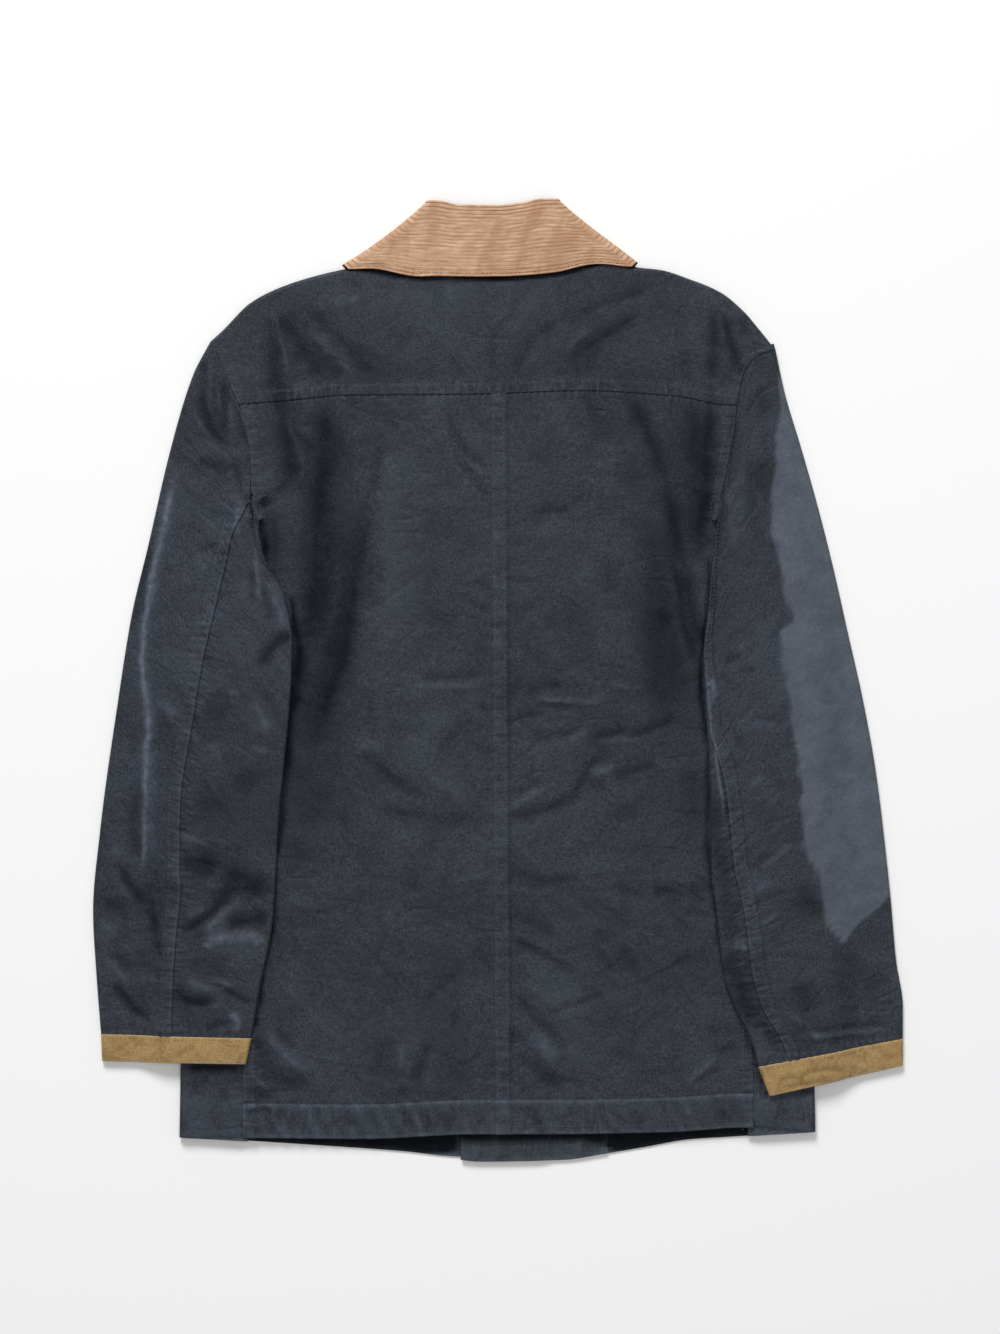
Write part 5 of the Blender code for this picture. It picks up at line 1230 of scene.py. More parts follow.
def even_steps(path, pitch):
    """Points one pitch apart along a path, and the direction there."""
    steps = np.hypot(*np.diff(path[:, :2], axis=0).T)
    run = np.concatenate([[0.0], np.cumsum(steps)])
    at = np.arange(0.5 * pitch, run[-1], pitch)
    points, ahead, behind = (together(*(np.interp(at + shift, run, row) for row in path.T))
                             for shift in (0.0, 0.4, -0.4))
    way = (ahead - behind)[:, :2]
    return points, way / np.maximum(np.hypot(way[:, :1], way[:, 1:]), 1e-6)


def stitch_points(points, way, length, width, seed):
    """Points and faces of stitches. Each stitch is two rings of five points and
    two tips, along its way, and bows down into the cloth at both ends."""
    random = np.random.default_rng(seed)
    count = len(points)
    turn = random.normal(0.0, 0.05, count)
    cos, sin = np.cos(turn), np.sin(turn)
    way = together(way[:, 0] * cos - way[:, 1] * sin, way[:, 0] * sin + way[:, 1] * cos)
    around = np.linspace(0.0, 2 * np.pi, 6)[:-1]
    place = np.concatenate([[-0.5], np.full(5, -0.26), np.full(5, 0.26), [0.5]])
    ring = np.concatenate([[0.0], np.full(10, 0.5), [0.0]])
    angle = np.concatenate([[0.0], around, around, [0.0]])
    ahead = place * length
    aside = ring * np.cos(angle) * width
    up = ring * np.sin(angle) * width - 0.9 * width * (2 * place) ** 4
    x = points[:, :1] + way[:, :1] * ahead - way[:, 1:] * aside
    y = points[:, 1:2] + way[:, 1:] * ahead + way[:, :1] * aside
    z = points[:, 2:3] + up + 0.12 * width
    turn_on = np.array([1, 2, 3, 4, 0])
    one = np.arange(5)
    tips = np.concatenate([together(0 * one, 1 + turn_on, 1 + one),
                           together(0 * one + 11, 6 + one, 6 + turn_on)])
    belt = together(1 + one, 1 + turn_on, 6 + turn_on, 6 + one)
    belt = np.concatenate([belt[:, :3], belt[:, [0, 2, 3]]])
    faces = np.concatenate([tips, belt])[None] + 12 * np.arange(count)[:, None, None]
    return together(x, y, z).reshape(-1, 3), faces.reshape(-1, 3)


def sew(name, rows, finish, size):
    """All stitches of one piece as one mesh. Each row is a path of (x, y, height)."""
    length, gap = size.stitch / MM, size.stitch_gap / MM
    parts = []
    for seed, row in enumerate(rows):
        points, way = even_steps(row, length + gap)
        parts.append(stitch_points(points, way, length, size.thread / MM, 200 + seed))
    start = np.concatenate([[0], np.cumsum([len(points) for points, _ in parts])[:-1]])
    points = np.concatenate([points for points, _ in parts])
    faces = np.concatenate([faces + first for (_, faces), first in zip(parts, start)])
    made = add_mesh(name, points, faces, finish, cut=points[:, :2])
    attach(made, "root")
    return made


def on_back(side, x, y, size):
    """A path on the back."""
    x, y = np.broadcast_arrays(np.asarray(x, float), np.asarray(y, float))
    return together(x, y, back_surface(side, x, y, size)[0])


def back_stitches(side, size):
    """Rows on half of the back: centre seam, hem, side seam and armhole."""
    down = np.linspace(240.0, -398.0, 400)
    rows = []
    if side > 0:
        rows += [on_back(1, centre_x(down) + off, down, size) for off in (-3.4, 4.6)]
    across = side * np.linspace(9.0, SIDE_SEAM_X - 1.0, 160)
    rows += [on_back(side, across, y_at(BACK_HEM, across) + up, size) for up in (7.0, HEM_BAND)]
    low = np.linspace(-396.0, 60.0, 200)
    rows += [on_back(side, side * (SIDE_SEAM_X - off) + 0 * low, low, size) for off in (1.0, 7.5)]
    arm = np.linspace(142.0, 243.0, 80)
    rows += [on_back(side, x_at(ARMHOLE[side], arm) - side * off, arm, size)
             for off in ARM_STITCHES]
    return rows


def yoke_stitches(size):
    """Rows on the yoke: above its lower seam and beside both armholes."""
    pucker = size.pucker / MM
    across = np.linspace(-216.0, 200.0, 220)
    paths = [(across, y_at(YOKE_SEAM, across) + YOKE_BAND)]
    for side, top in ((-1, 294.0), (1, 288.0)):
        arm = np.linspace(246.0, top, 50)
        paths += [(x_at(ARMHOLE[side], arm) - side * off, arm) for off in ARM_STITCHES]
    rows = []
    for x, y in paths:
        height = yoke_relief(x, y, size.crease_share, pucker)[0] + armhole_lap(x, y, pucker)[0]
        rows.append(together(x, y, height))
    return rows


def sleeve_stitches(side, size):
    """Two rows beside the back seam of a sleeve."""
    share = np.linspace(0.02, 0.995, 240)[:, None]
    rows = []
    for off in (1.8, 8.2):
        place = place_at(round_tube(arm_seam(side, share)) - off)
        grid = sleeve_grid(side, share, place, size)
        rows.append(seam_ridge(grid, off + 0 * share, size, over=True)[0][:, 0])
    return rows


def cuff_stitches(side, size):
    """Rows near both edges of a cuff, on its top."""
    down = shares(CUFF_BAND, 1.6) * CUFF_BAND
    first = 7
    last = first + int(CUFF_TOP / (size.pitch / MM)) - 2
    points = cuff_grid(side, size)[0][:, first:last].reshape(len(down), -1)
    return [np.array([np.interp(off, down, column) for column in points.T]).reshape(-1, 3)
            for off in (2.6, CUFF_BAND - 3.2)]


def collar_stitches():
    """The row along the collar's lower edge."""
    share = np.array([[1.0 - COLLAR_SEAM / COLLAR_DEPTH]])
    points, facing_up = collar_points(share, np.array([[0.35]]), 0 * share)
    seen = facing_up[0] > 0.99
    return [points[0][seen][2:-2]]


# ---------------------------------------------------------------- finishes

class Finish:
    """A material and short ways to add its nodes."""

    def __init__(self, name):
        self.material = bpy.data.materials.new(name)
        self.material.use_nodes = True
        self.tree = self.material.node_tree
        self.shader = self.tree.nodes["Principled BSDF"]
        self.place = self.node("ShaderNodeTexCoord").outputs["Object"]

    def node(self, kind, **values):
        """A new node with those settings."""
        made = self.tree.nodes.new(kind)
        for key, value in values.items():
            setattr(made, key, value)
        return made

    def link(self, source, target):
        """Gives a socket another one's output, or a plain value."""
        if hasattr(source, "links"):
            self.tree.links.new(source, target)
        else:
            target.default_value = source

    def attribute(self, name):
        return self.node("ShaderNodeAttribute", attribute_name=name).outputs["Fac"]

    def cut(self, scale, turn=0.0):
        """The cloth's own metres, turned in its plane and then stretched by a scale."""
        source = self.node("ShaderNodeUVMap", uv_map="cut").outputs["UV"]
        if turn:
            turned = self.node("ShaderNodeVectorRotate", rotation_type="Z_AXIS")
            self.link(source, turned.inputs["Vector"])
            turned.inputs["Angle"].default_value = turn
            source = turned.outputs["Vector"]
        mapping = self.node("ShaderNodeMapping")
        self.link(source, mapping.inputs["Vector"])
        mapping.inputs["Scale"].default_value = (*scale, 1.0)
        return mapping.outputs["Vector"]

    def noise(self, scale, detail=2.0, rough=0.5, bend=0.0, vector=None):
        """Soft noise in the jacket's own place, or in the place that a vector gives."""
        made = self.node("ShaderNodeTexNoise")
        self.link(self.place if vector is None else vector, made.inputs["Vector"])
        for key, number in (("Scale", scale), ("Detail", detail), ("Roughness", rough),
                            ("Distortion", bend)):
            made.inputs[key].default_value = number
        return made.outputs["Fac"]

    def drawn(self, scale, detail=2.0, rough=0.5, bend=0.0, turn=0.0):
        """Soft noise drawn out over the cloth's own metres."""
        return self.noise(1.0, detail, rough, bend, self.cut(scale, turn))

    def weave(self, coarse, fine):
        """Threads that run across and along the cloth."""
        across, along_it = (self.drawn(scale, 2.0, 0.6)
                            for scale in ((coarse, fine), (fine, coarse)))
        return self.times(self.work("ADD", across, along_it), 0.5)

    def spread(self, value, low, high, to_low=0.0, to_high=1.0, curve="SMOOTHSTEP"):
        """The value's stretch from low to high, carried to another stretch and held there."""
        made = self.node("ShaderNodeMapRange", interpolation_type=curve)
        self.link(value, made.inputs["Value"])
        for key, number in (("From Min", low), ("From Max", high),
                            ("To Min", to_low), ("To Max", to_high)):
            made.inputs[key].default_value = number
        return made.outputs["Result"]

    def grey(self, value, low, high, dark, light, curve="SMOOTHSTEP"):
        """From a dark to a light grey with the value, to multiply a colour by."""
        return self.mix(self.spread(value, low, high, curve=curve), (dark,) * 3, (light,) * 3)

    def work(self, operation, a, b):
        """The result of one operation on two numbers."""
        made = self.node("ShaderNodeMath", operation=operation)
        self.link(a, made.inputs[0])
        self.link(b, made.inputs[1])
        return made.outputs["Value"]

    def times(self, a, b):
        """The product of two numbers."""
        return self.work("MULTIPLY", a, b)

    def mix(self, share, a, b, blend="MIX"):
        """A share of the second colour over the first."""
        made = self.node("ShaderNodeMix", data_type="RGBA", blend_type=blend)
        self.link(share, made.inputs["Factor"])
        for colour, target in ((a, made.inputs["A"]), (b, made.inputs["B"])):
            self.link(colour if hasattr(colour, "links") else (*colour[:3], 1.0), target)
        return made.outputs["Result"]

    def raise_by(self, *layers):
        """Bumps on each other: each layer is a height from 0 to 1 and its size in metres."""
        normal = None
        for height, distance in layers:
            bump = self.node("ShaderNodeBump")
            self.link(height, bump.inputs["Height"])
            bump.inputs["Distance"].default_value = distance
            if normal is not None:
                self.link(normal, bump.inputs["Normal"])
            normal = bump.outputs["Normal"]
        self.link(normal, self.shader.inputs["Normal"])

    def colour(self, source):
        """Sets the cloth's colour."""
        self.link(source, self.shader.inputs["Base Color"])

    def set(self, **values):
        """Sets the shader's other sockets, named with _ for a space."""
        for key, value in values.items():
            self.link(value, self.shader.inputs[key.replace("_", " ")])


def scratched(made, base, worn):
    """A scatter of fine scratches at two angles, where the cloth is rubbed."""
    rubbed = made.spread(made.noise(24.0, 3.0), 0.48, 0.66)
    for scale, turn, share in (((900.0, 34.0), 0.5, 0.22), ((800.0, 40.0), -0.8, 0.16)):
        line = made.spread(made.drawn(scale, 1.0, turn=turn), 0.66, 0.76, 0.0, share)
        base = made.mix(made.times(line, rubbed), base, worn)
    return base


def crease_lines(made, patch):
    """Fine creases at four angles: where a drawn-out noise passes its middle, in places."""
    creased = None
    for place, (scale, turn) in enumerate((((30.0, 8.0), 1.05), ((34.0, 9.0), -0.9),
                                           ((40.0, 10.0), 1.6), ((26.0, 9.0), 0.2))):
        from_middle = made.work("SUBTRACT", made.drawn(scale, 1.0, 0.5, 0.15, turn), 0.5)
        line = made.spread(made.work("ABSOLUTE", from_middle, 0.0), 0.09, 0.0)
        somewhere = made.spread(made.noise(10.0 + 3.0 * place, 2.0), 0.46, 0.66)
        line = made.times(line, somewhere)
        creased = line if creased is None else made.work("MAXIMUM", creased, line)
    return made.times(creased, made.spread(patch, 1.0, 0.0))


def draped(made, base, colours):
    """Soft drapes at two angles, with a painted highlight on one side and painted shade on the
    other, and their height.
    """
    drapes = None
    for scale, turn in (((24.0, 9.0), 1.15), ((28.0, 11.0), -0.75)):
        drape = made.drawn(scale, 4.0, 0.55, 0.7, turn)
        base = made.mix(made.spread(drape, 0.52, 0.7, 0.0, 0.05), base, colours.worn)
        base = made.mix(made.spread(drape, 0.48, 0.32, 0.0, 0.1), base, colours.shade)
        drapes = drape if drapes is None else made.work("ADD", drapes, drape)
    return base, drapes


def puckered(made, base, colours):
    """Fine puckers where the cloth is gathered beside its seams, with painted shade and painted
    highlight on them, and their height.
    """
    gather = made.attribute("gather")
    puckers = None
    for scale, sign in (((300.0, 60.0), 1.0), ((60.0, 300.0), -1.0)):
        wave = made.drawn(scale, 1.5, 0.5, 0.4)
        share = made.spread(gather, 0.0, sign, curve="LINEAR")
        for end, most, colour in ((0.34, 0.44, colours.shade), (0.68, 0.14, colours.worn)):
            base = made.mix(made.times(share, made.spread(wave, 0.52, end, 0.0, most)), base,
                            colour)
        wave = made.times(wave, share)
        puckers = wave if puckers is None else made.work("ADD", puckers, wave)
    return base, puckers


def waxed_finish(colours):
    """Waxed cotton: navy, mottled where the wax has moved, brownish in places, with painted
    shade in folds, beside the sleeves, below the back's hem and under the collar, paler on
    seams as wear and on ridges as wear and painted highlight, and in the patch a paler cloth."""
    made = Finish("waxed_cotton_cloth")
    large = made.noise(7.0, 4.0, 0.6, 0.6)
    fine = made.noise(38.0, 5.0, 0.62, 0.8)
    base = made.mix(made.spread(large, 0.36, 0.64), colours.cotton_dark, colours.cotton)
    base = made.mix(made.spread(fine, 0.35, 0.7, 0.0, 0.45), base, colours.cotton_pale)
    brown = made.noise(9.0, 3.0, 0.55, 0.6)
    base = made.mix(made.spread(brown, 0.52, 0.7, 0.0, 0.14), base, colours.wax)
    thread = made.weave(150.0, 1100.0)
    grain = made.noise(520.0, 3.0, 0.7)
    worked = made.mix(1.0, made.grey(thread, 0.34, 0.66, 0.68, 1.32, "LINEAR"),
                      made.grey(grain, 0.3, 0.7, 0.36, 1.62, "LINEAR"), "MULTIPLY")
    base = scratched(made, made.mix(1.0, base, worked, "MULTIPLY"), colours.worn)
    patch = made.attribute("patch")
    creased = crease_lines(made, patch)
    # painted shade in the fine creases
    base = made.mix(made.times(creased, 0.13), base, colours.shade)
    base, drapes = draped(made, base, colours)
    base, puckers = puckered(made, base, colours)
    # the paler cloth of the worn patch, greyer at its edge
    grey = made.mix(made.spread(fine, 0.3, 0.7), colours.patch, colours.patch_pale)
    grey = made.mix(made.spread(patch, 1.0, 0.6, 0.0, 0.5), grey, colours.patch)
    grey = made.mix(0.25, grey, made.mix(1.0, grey, worked, "MULTIPLY"))
    base = made.mix(patch, base, grey)
    # worn and painted highlight above 0, painted shade below
    tone = made.attribute("tone")
    broken = made.spread(made.noise(150.0, 3.0, 0.6), 0.3, 0.7, 0.55, 1.25)
    base = made.mix(made.spread(made.times(tone, broken), 0.0, 1.0, curve="LINEAR"), base,
                    colours.worn)
    # the painted shade, a little uneven
    dark = made.times(tone, made.spread(fine, 0.3, 0.7, 1.2, 0.85))
    made.colour(made.mix(made.spread(dark, 0.0, -1.0, curve="LINEAR"), base, colours.shade))
    # less specular and sheen where shade is painted
    made.set(Roughness=made.spread(fine, 0.3, 0.75, 0.48, 0.66),
             Specular_IOR_Level=made.spread(tone, 0.0, -0.8, 0.2, 0.04, "LINEAR"),
             Sheen_Weight=made.spread(tone, 0.0, -0.5, 0.02, 0.0, "LINEAR"), Sheen_Roughness=0.5)
    unrest = made.noise(62.0, 3.0, 0.55, 0.5)
    pits = made.noise(230.0, 3.0, 0.6)
    made.raise_by((unrest, 0.0012), (drapes, 0.0012),
                  (made.work("SUBTRACT", 1.0, creased), 0.0005), (puckers, 0.0006),
                  (pits, 0.00022), (thread, 0.00006))
    return made.material


def corduroy_finish(colours):
    """Corduroy: tan pile in soft patches where it is brushed up or down, a little deeper in the
    grooves, by its own colour and by painted shade, which show most near its edges, and a
    painted shadow under the lower edge."""
    made = Finish("tan_corduroy")
    cord = made.attribute("tone")
    brushed = made.drawn((70.0, 420.0), 4.0, 0.6)
    patches = made.drawn((46.0, 20.0), 3.0, 0.6, 0.4, 0.3)
    pile = made.mix(made.spread(brushed, 0.3, 0.72), colours.corduroy, colours.corduroy_pale)
    pile = made.mix(made.spread(patches, 0.44, 0.66, 0.0, 0.6), pile, colours.corduroy_deep)
    streaks = made.drawn((26.0, 640.0), 3.0, 0.65)
    pile = made.mix(made.spread(streaks, 0.46, 0.64, 0.0, 0.45), pile, colours.corduroy_deep)
    # darker in the grooves: the cloth's own colour and painted shade
    pile = made.mix(made.spread(cord, 0.9, -1.0), pile, colours.groove)
    # painted shadow under the lower edge, with less specular and sheen there
    made.colour(made.mix(made.spread(cord, -1.0, -2.6), pile, colours.shade))
    made.set(Roughness=0.9, Specular_IOR_Level=made.spread(cord, -1.0, -2.6, 0.15, 0.0),
             Sheen_Weight=made.spread(cord, -1.0, -2.0, 0.12, 0.0), Sheen_Roughness=0.45)
    fuzz = made.drawn((900.0, 2600.0), 3.0, 0.7)
    made.raise_by((patches, 0.0009), (fuzz, 0.00014))
    return made.material


def canvas_finish(colours):
    """Canvas: olive brown, worn pale on its edges, pale on its creases' ridges as wear and
    painted highlight, with painted shade in their hollows, and with a coarse thread.
    """
    made = Finish("cuff_canvas_cloth")
    cloudy = made.noise(55.0, 4.0, 0.6, 0.8)
    base = made.mix(made.spread(cloudy, 0.2, 0.6), colours.canvas_dark, colours.canvas)
    thread = made.weave(160.0, 1300.0)
    base = made.mix(1.0, base, made.grey(thread, 0.34, 0.66, 0.74, 1.26), "MULTIPLY")
    tone = made.attribute("tone")
    # worn and painted highlight above 0, painted shade in the creases below
    base = made.mix(made.spread(tone, 0.0, 1.0, 0.0, 0.85), base, colours.canvas_worn)
    base = made.mix(made.spread(tone, 0.0, -0.6, 0.0, 0.8), base, colours.canvas_dark)
    made.colour(base)
    made.set(Roughness=0.85, Specular_IOR_Level=0.3, Sheen_Weight=0.1)
    made.raise_by((cloudy, 0.0008), (thread, 0.0001))
    return made.material


def thread_finish(name, pale, deep):
    """Sewing thread: two shades that turn round it."""
    made = Finish(name)
    twist = made.noise(900.0, 2.0)
    made.colour(made.mix(made.spread(twist, 0.35, 0.65), deep, pale))
    made.set(Roughness=0.7, Sheen_Weight=0.1)
    made.raise_by((twist, 0.00005))
    return made.material


def floor_finish(colours):
    """A plain pale surface."""
    made = Finish("pale_surface")
    made.shader.inputs["Base Color"].default_value = (*colours.floor, 1.0)
    made.set(Roughness=0.95, Specular_IOR_Level=0.1)
    return made.material


def finish(name):
    """The finish of that name, made the first time that it is asked for."""
    colours = bpy.context.scene.jacket_colours
    makers = {
        "waxed": lambda: waxed_finish(colours),
        "corduroy": lambda: corduroy_finish(colours),
        "canvas": lambda: canvas_finish(colours),
        "thread": lambda: thread_finish("navy_thread", colours.thread, colours.cotton),
        "collar_thread": lambda: thread_finish("tan_thread", colours.corduroy_pale,
                                               colours.corduroy_deep),
        "cuff_thread": lambda: thread_finish("brown_thread", colours.canvas_worn,
                                             colours.canvas_dark),
        "floor": lambda: floor_finish(colours),
    }
    key = "finish_" + name
    if key not in bpy.context.scene:
        bpy.context.scene[key] = makers[name]().name
    return bpy.data.materials[bpy.context.scene[key]]


# ---------------------------------------------------------------- settings

def length_setting(name, text, default):
    return bpy.props.FloatProperty(name=name, description=text, default=default, min=0.0,
                                   subtype="DISTANCE", unit="LENGTH", precision=5)


def colour_setting(name, text, red, green, blue):
    """A colour given as screen values from 0 to 255, kept as linear light."""
    screen = np.array([red, green, blue]) / 255.0
    light = np.where(screen <= 0.04045, screen / 12.92, ((screen + 0.055) / 1.055) ** 2.4)
    return bpy.props.FloatVectorProperty(name=name, description=text, size=3, min=0.0, max=1.0,
                                         default=tuple(float(v) for v in light), subtype="COLOR")


class JacketSizes(bpy.types.PropertyGroup):
    """Sizes of the cloth, its creases and its sewing."""
    cloth: length_setting("Cloth", "Thickness of the waxed cotton", CLOTH * MM)
    corduroy: length_setting("Corduroy", "Thickness of the collar over its cords", 0.0020)
    canvas: length_setting("Canvas", "Thickness of the cuffs", 0.0014)
    pitch: length_setting("Pitch", "Distance between the points of a surface", 0.0023)
    pucker: length_setting("Puckers", "Height of the puckers beside a seam", 0.0003)
    wale: length_setting("Cords", "Height of the corduroy's cords", 0.00024)
    stitch: length_setting("Stitch", "Length of a stitch", 0.0027)
    stitch_gap: length_setting("Stitch gap", "Distance between two stitches", 0.0009)
    thread: length_setting("Thread", "Width of the sewing thread", 0.0006)
    crease_share: bpy.props.FloatProperty(name="Creases", default=1.3, min=0.0, max=2.0,
                                          description="Depth of all creases", subtype="FACTOR")


class JacketColours(bpy.types.PropertyGroup):
    """Colours of the cloths, the wear, the painted shade and highlight, and the surface below."""
    cotton: colour_setting("Cotton", "Waxed cotton", 46, 51, 60)
    cotton_dark: colour_setting("Dark cotton", "Where the wax lies thick", 37, 42, 49)
    cotton_pale: colour_setting("Pale cotton", "Where the wax is thin", 56, 61, 70)
    wax: colour_setting("Wax", "Brownish wax", 52, 49, 48)
    # worn cloth on seams and scratches, and the painted highlight on ridges, drapes and puckers
    worn: colour_setting("Worn", "Seams, ridges and scratches", 92, 101, 114)
    # painted shade and painted shadow: in folds, drapes, puckers and fine creases, beside the
    # sleeves, below the back's hem and under the collar
    shade: colour_setting("Fold", "In the folds", 10, 14, 20)
    patch: colour_setting("Patch", "Paler cloth on the right sleeve", 72, 79, 89)
    patch_pale: colour_setting("Patch, pale", "Its palest places", 83, 91, 101)
    thread: colour_setting("Thread", "Sewing thread", 76, 85, 97)
    corduroy: colour_setting("Corduroy", "Pile of the collar", 180, 142, 113)
    corduroy_pale: colour_setting("Corduroy, pale", "Where the pile is brushed", 216, 182, 152)
    corduroy_deep: colour_setting("Corduroy, deep", "Where the pile is worn", 169, 128, 98)
    # darker between the cords: the cloth's own colour and painted shade
    groove: colour_setting("Groove", "Between the cords", 132, 84, 54)
    canvas: colour_setting("Canvas", "Cuffs", 161, 132, 86)
    # mottles the canvas, and is the painted shade in the cuffs' creases
    canvas_dark: colour_setting("Canvas, dark", "In the cuffs' creases", 127, 101, 63)
    canvas_worn: colour_setting("Canvas, worn", "On the cuffs' edges", 190, 168, 128)
    floor: colour_setting("Surface", "What the jacket lies on", 251, 251, 251)


# ---------------------------------------------------------------- stage

# The camera looks straight down. The frame is 1000 pixels wide and 1334 high.
LENS = 85.0
SENSOR = 36.0
FRAME_HEIGHT = 1.174     # metres from the frame's lower to its upper edge
AIM = (0.0018, 0.0114)

ROOM_LIGHT = 0.32
LAMPS = [  # name, place, diameter, power
    ("key", (-1.3, 4.9, 3.6), 2.45, 331.0),
    ("overhead", (0.4, -0.3, 3.6), 2.6, 26.0),
]


# ---------------------------------------------------------------- operators

SIDES = ((-1, "left"), (1, "right"))


def waxed_panel(name, node, grid, size, flat, area, rests_on, **how):
    """A panel of waxed cotton in the place of a node. how says which quads it keeps and
    whether it is turned over."""
    made = shell(name, grid, finish("waxed"), size.cloth, **how)
    laid(made, node)


class Maker:
    """What the makers of pieces share: each makes them from the sizes in the sidebar."""

    def execute(self, context):
        self.make(context.scene.jacket_sizes)
        return {"FINISHED"}


class MakeBack(Maker, bpy.types.Operator):
    """Both halves of the back"""
    bl_idname = "jacket.make_back"
    bl_label = "Back"

    def make(self, size):
        for (side, word), area in zip(SIDES, (0.150, 0.147)):
            waxed_panel("back_panel_" + word, "back_" + word, back_grid(side, size), size,
                        (0.24, 0.66), area, "front_panel_" + word, flip=side < 0)


class MakeYoke(Maker, bpy.types.Operator):
    """The yoke, over both shoulders"""
    bl_idname = "jacket.make_yoke"
    bl_label = "Yoke"

    def make(self, size):
        grid, keep = yoke_grid(size)
        waxed_panel("yoke_panel", "yoke", grid, size, (0.50, 0.18), 0.065, "back_panel_left",
                    keep=keep)


class MakeFronts(Maker, bpy.types.Operator):
    """Both fronts and the facing that shows below the back hem"""
    bl_idname = "jacket.make_fronts"
    bl_label = "Fronts"

    def make(self, size):
        for side, word in SIDES:
            grid, keep = front_grid(side, size)
            waxed_panel("front_panel_" + word, "front_" + word, grid, size, (0.38, 0.77), 0.240,
                        "floor", keep=keep, flip=side < 0)
        waxed_panel("front_facing_strip", "front_facing", facing_grid(size), size,
                    (0.128, 0.77), 0.096, "front_panel_right", flip=True)


class MakeSleeves(Maker, bpy.types.Operator):
    """The two pieces of each sleeve"""
    bl_idname = "jacket.make_sleeves"
    bl_label = "Sleeves"

    def make(self, size):
        for (side, word), upper, under in zip(SIDES, (0.105, 0.125), (0.055, 0.034)):
            name = "sleeve_" + word
            waxed_panel(name + "_upper_panel", name + "_upper", sleeve_upper_grid(side, size),
                        size, (0.23, 0.64), upper, "front_panel_" + word, flip=side > 0)
            waxed_panel(name + "_under_panel", name + "_under", sleeve_under_grid(side, size),
                        size, (0.11, 0.64), under, "back_panel_" + word, flip=side < 0)


class MakeCuffs(Maker, bpy.types.Operator):
    """The two canvas cuffs"""
    bl_idname = "jacket.make_cuffs"
    bl_label = "Cuffs"

    def make(self, size):
        for side, word in SIDES:
            made = shell("cuff_band_" + word, cuff_grid(side, size), finish("canvas"),
                         size.canvas, flip=side < 0, closed=True)
            laid(made, "cuff_" + word)


class MakeCollar(Maker, bpy.types.Operator):
    """The corduroy collar and its stand"""
    bl_idname = "jacket.make_collar"
    bl_label = "Collar"

    def make(self, size):
        made = shell("collar_fall_cloth", collar_fall_grid(size), finish("corduroy"),
                     size.corduroy, flip=True)
        laid(made, "collar_fall")
        waxed_panel("collar_stand_band", "collar_stand", collar_stand_grid(), size,
                    (0.27, 0.035), 0.0075, "yoke_panel", flip=True)


class SewJacket(Maker, bpy.types.Operator):
    """All rows of stitching"""
    bl_idname = "jacket.sew"
    bl_label = "Stitching"

    def make(self, size):
        for side, word in SIDES:
            sew("stitches_back_" + word, back_stitches(side, size), finish("thread"), size)
            sew("stitches_sleeve_" + word, sleeve_stitches(side, size), finish("thread"), size)
            sew("stitches_cuff_" + word, cuff_stitches(side, size), finish("cuff_thread"), size)
        sew("stitches_yoke", yoke_stitches(size), finish("thread"), size)
        sew("stitches_collar", collar_stitches(), finish("collar_thread"), size)


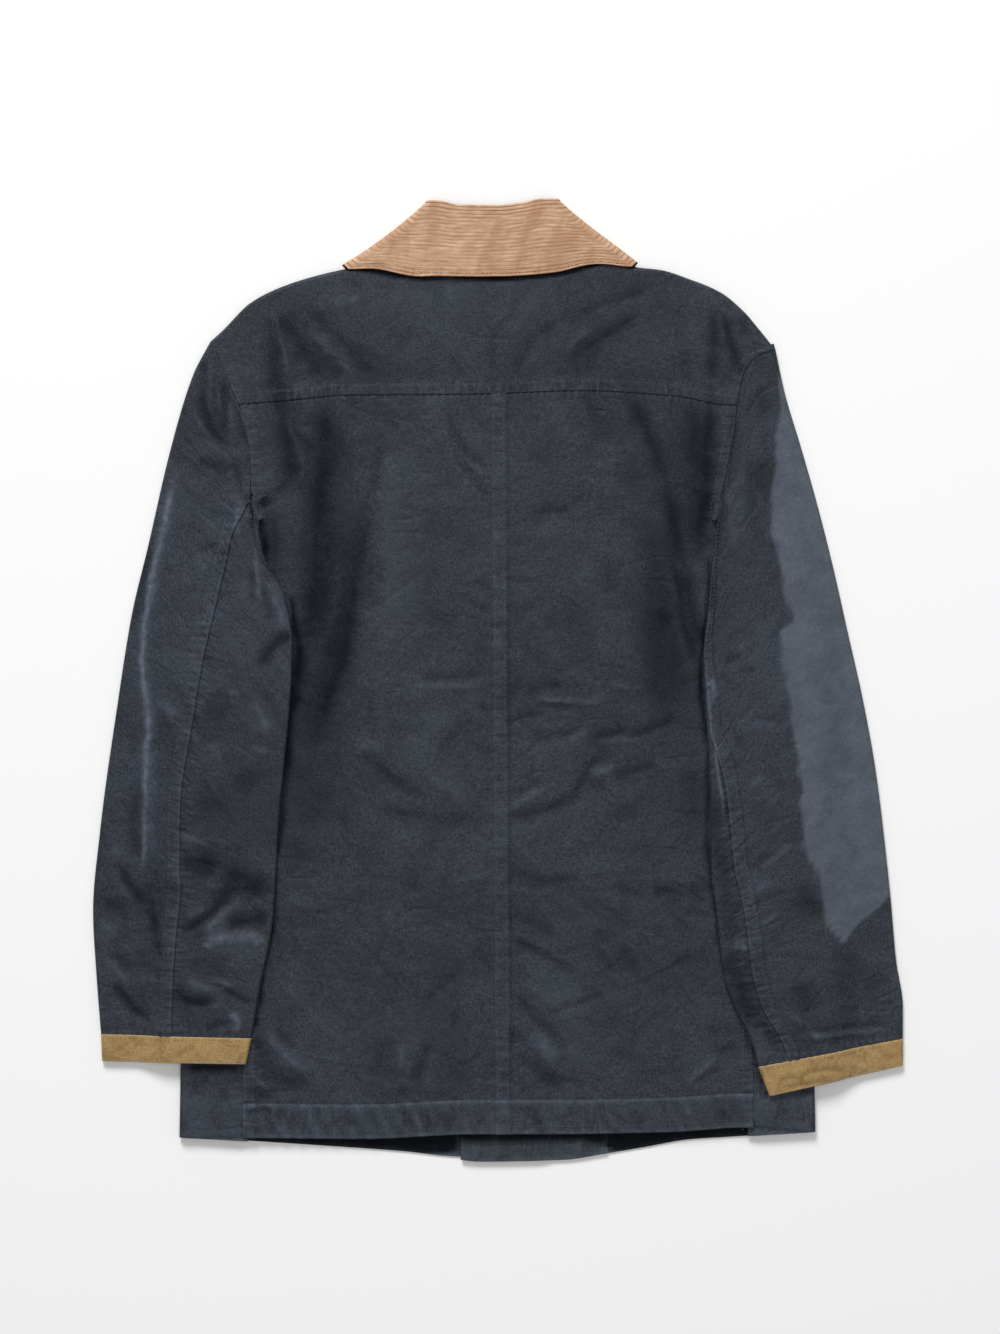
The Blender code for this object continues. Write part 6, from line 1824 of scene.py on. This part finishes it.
class SetStage(bpy.types.Operator):
    """The surface below, the light and the camera"""
    bl_idname = "jacket.set_stage"
    bl_label = "Stage"

    def execute(self, context):
        scene = context.scene
        ring = np.array([(-1, -1), (1, -1), (1, 1), (-1, 1)]) * 6000.0
        points = np.concatenate([ring, np.full((4, 1), -0.2)], axis=1)
        floor = add_mesh("floor", points, np.array([[0, 1, 2, 3]]), finish("floor"))
        world = bpy.data.worlds.new("soft_room")
        scene.world = world
        world.use_nodes = True
        sky = world.node_tree.nodes["Background"]
        sky.inputs["Color"].default_value = (1.0, 1.0, 1.0, 1.0)
        sky.inputs["Strength"].default_value = ROOM_LIGHT
        for name, place, wide, power in LAMPS:
            lamp = bpy.data.lights.new(name, "AREA")
            lamp.shape = "DISK"
            lamp.size = wide
            lamp.energy = power
            made = bpy.data.objects.new(name, lamp)
            made.location = place
            made.rotation_mode = "QUATERNION"
            made.rotation_quaternion = made.location.to_track_quat("Z", "Y")
            scene.collection.objects.link(made)
        camera = bpy.data.cameras.new("camera")
        camera.lens = LENS
        camera.sensor_width = SENSOR
        camera.clip_end = 20.0
        made = bpy.data.objects.new("camera", camera)
        made.location = (*AIM, FRAME_HEIGHT * LENS / SENSOR)
        scene.collection.objects.link(made)
        scene.camera = made
        scene.view_settings.view_transform = "Standard"
        scene.view_settings.look = "None"
        return {"FINISHED"}


class JacketPanel(bpy.types.Panel):
    """Makes the jacket piece by piece"""
    bl_idname = "VIEW3D_PT_jacket"
    bl_label = "Waxed cotton jacket"
    bl_space_type = "VIEW_3D"
    bl_region_type = "UI"
    bl_category = "Jacket"

    def draw(self, context):
        for settings in (context.scene.jacket_sizes, context.scene.jacket_colours):
            box = self.layout.box()
            for key in settings.__annotations__:
                box.prop(settings, key)
        for operator in OPERATORS:
            self.layout.operator(operator.bl_idname)


OPERATORS = (MakeFronts, MakeBack, MakeYoke, MakeSleeves, MakeCuffs, MakeCollar, SewJacket,
             SetStage)
CLASSES = (JacketSizes, JacketColours, *OPERATORS, JacketPanel)


def register():
    for one in CLASSES:
        bpy.utils.register_class(one)
    bpy.types.Scene.jacket_sizes = bpy.props.PointerProperty(type=JacketSizes)
    bpy.types.Scene.jacket_colours = bpy.props.PointerProperty(type=JacketColours)


def unregister():
    del bpy.types.Scene.jacket_colours
    del bpy.types.Scene.jacket_sizes
    for one in reversed(CLASSES):
        bpy.utils.unregister_class(one)


def main():
    register()
    bpy.ops.jacket.set_stage()
    bpy.ops.jacket.make_fronts()
    bpy.ops.jacket.make_back()
    bpy.ops.jacket.make_yoke()
    bpy.ops.jacket.make_sleeves()
    bpy.ops.jacket.make_cuffs()
    bpy.ops.jacket.make_collar()
    bpy.ops.jacket.sew()


if __name__ == "__main__":
    main()
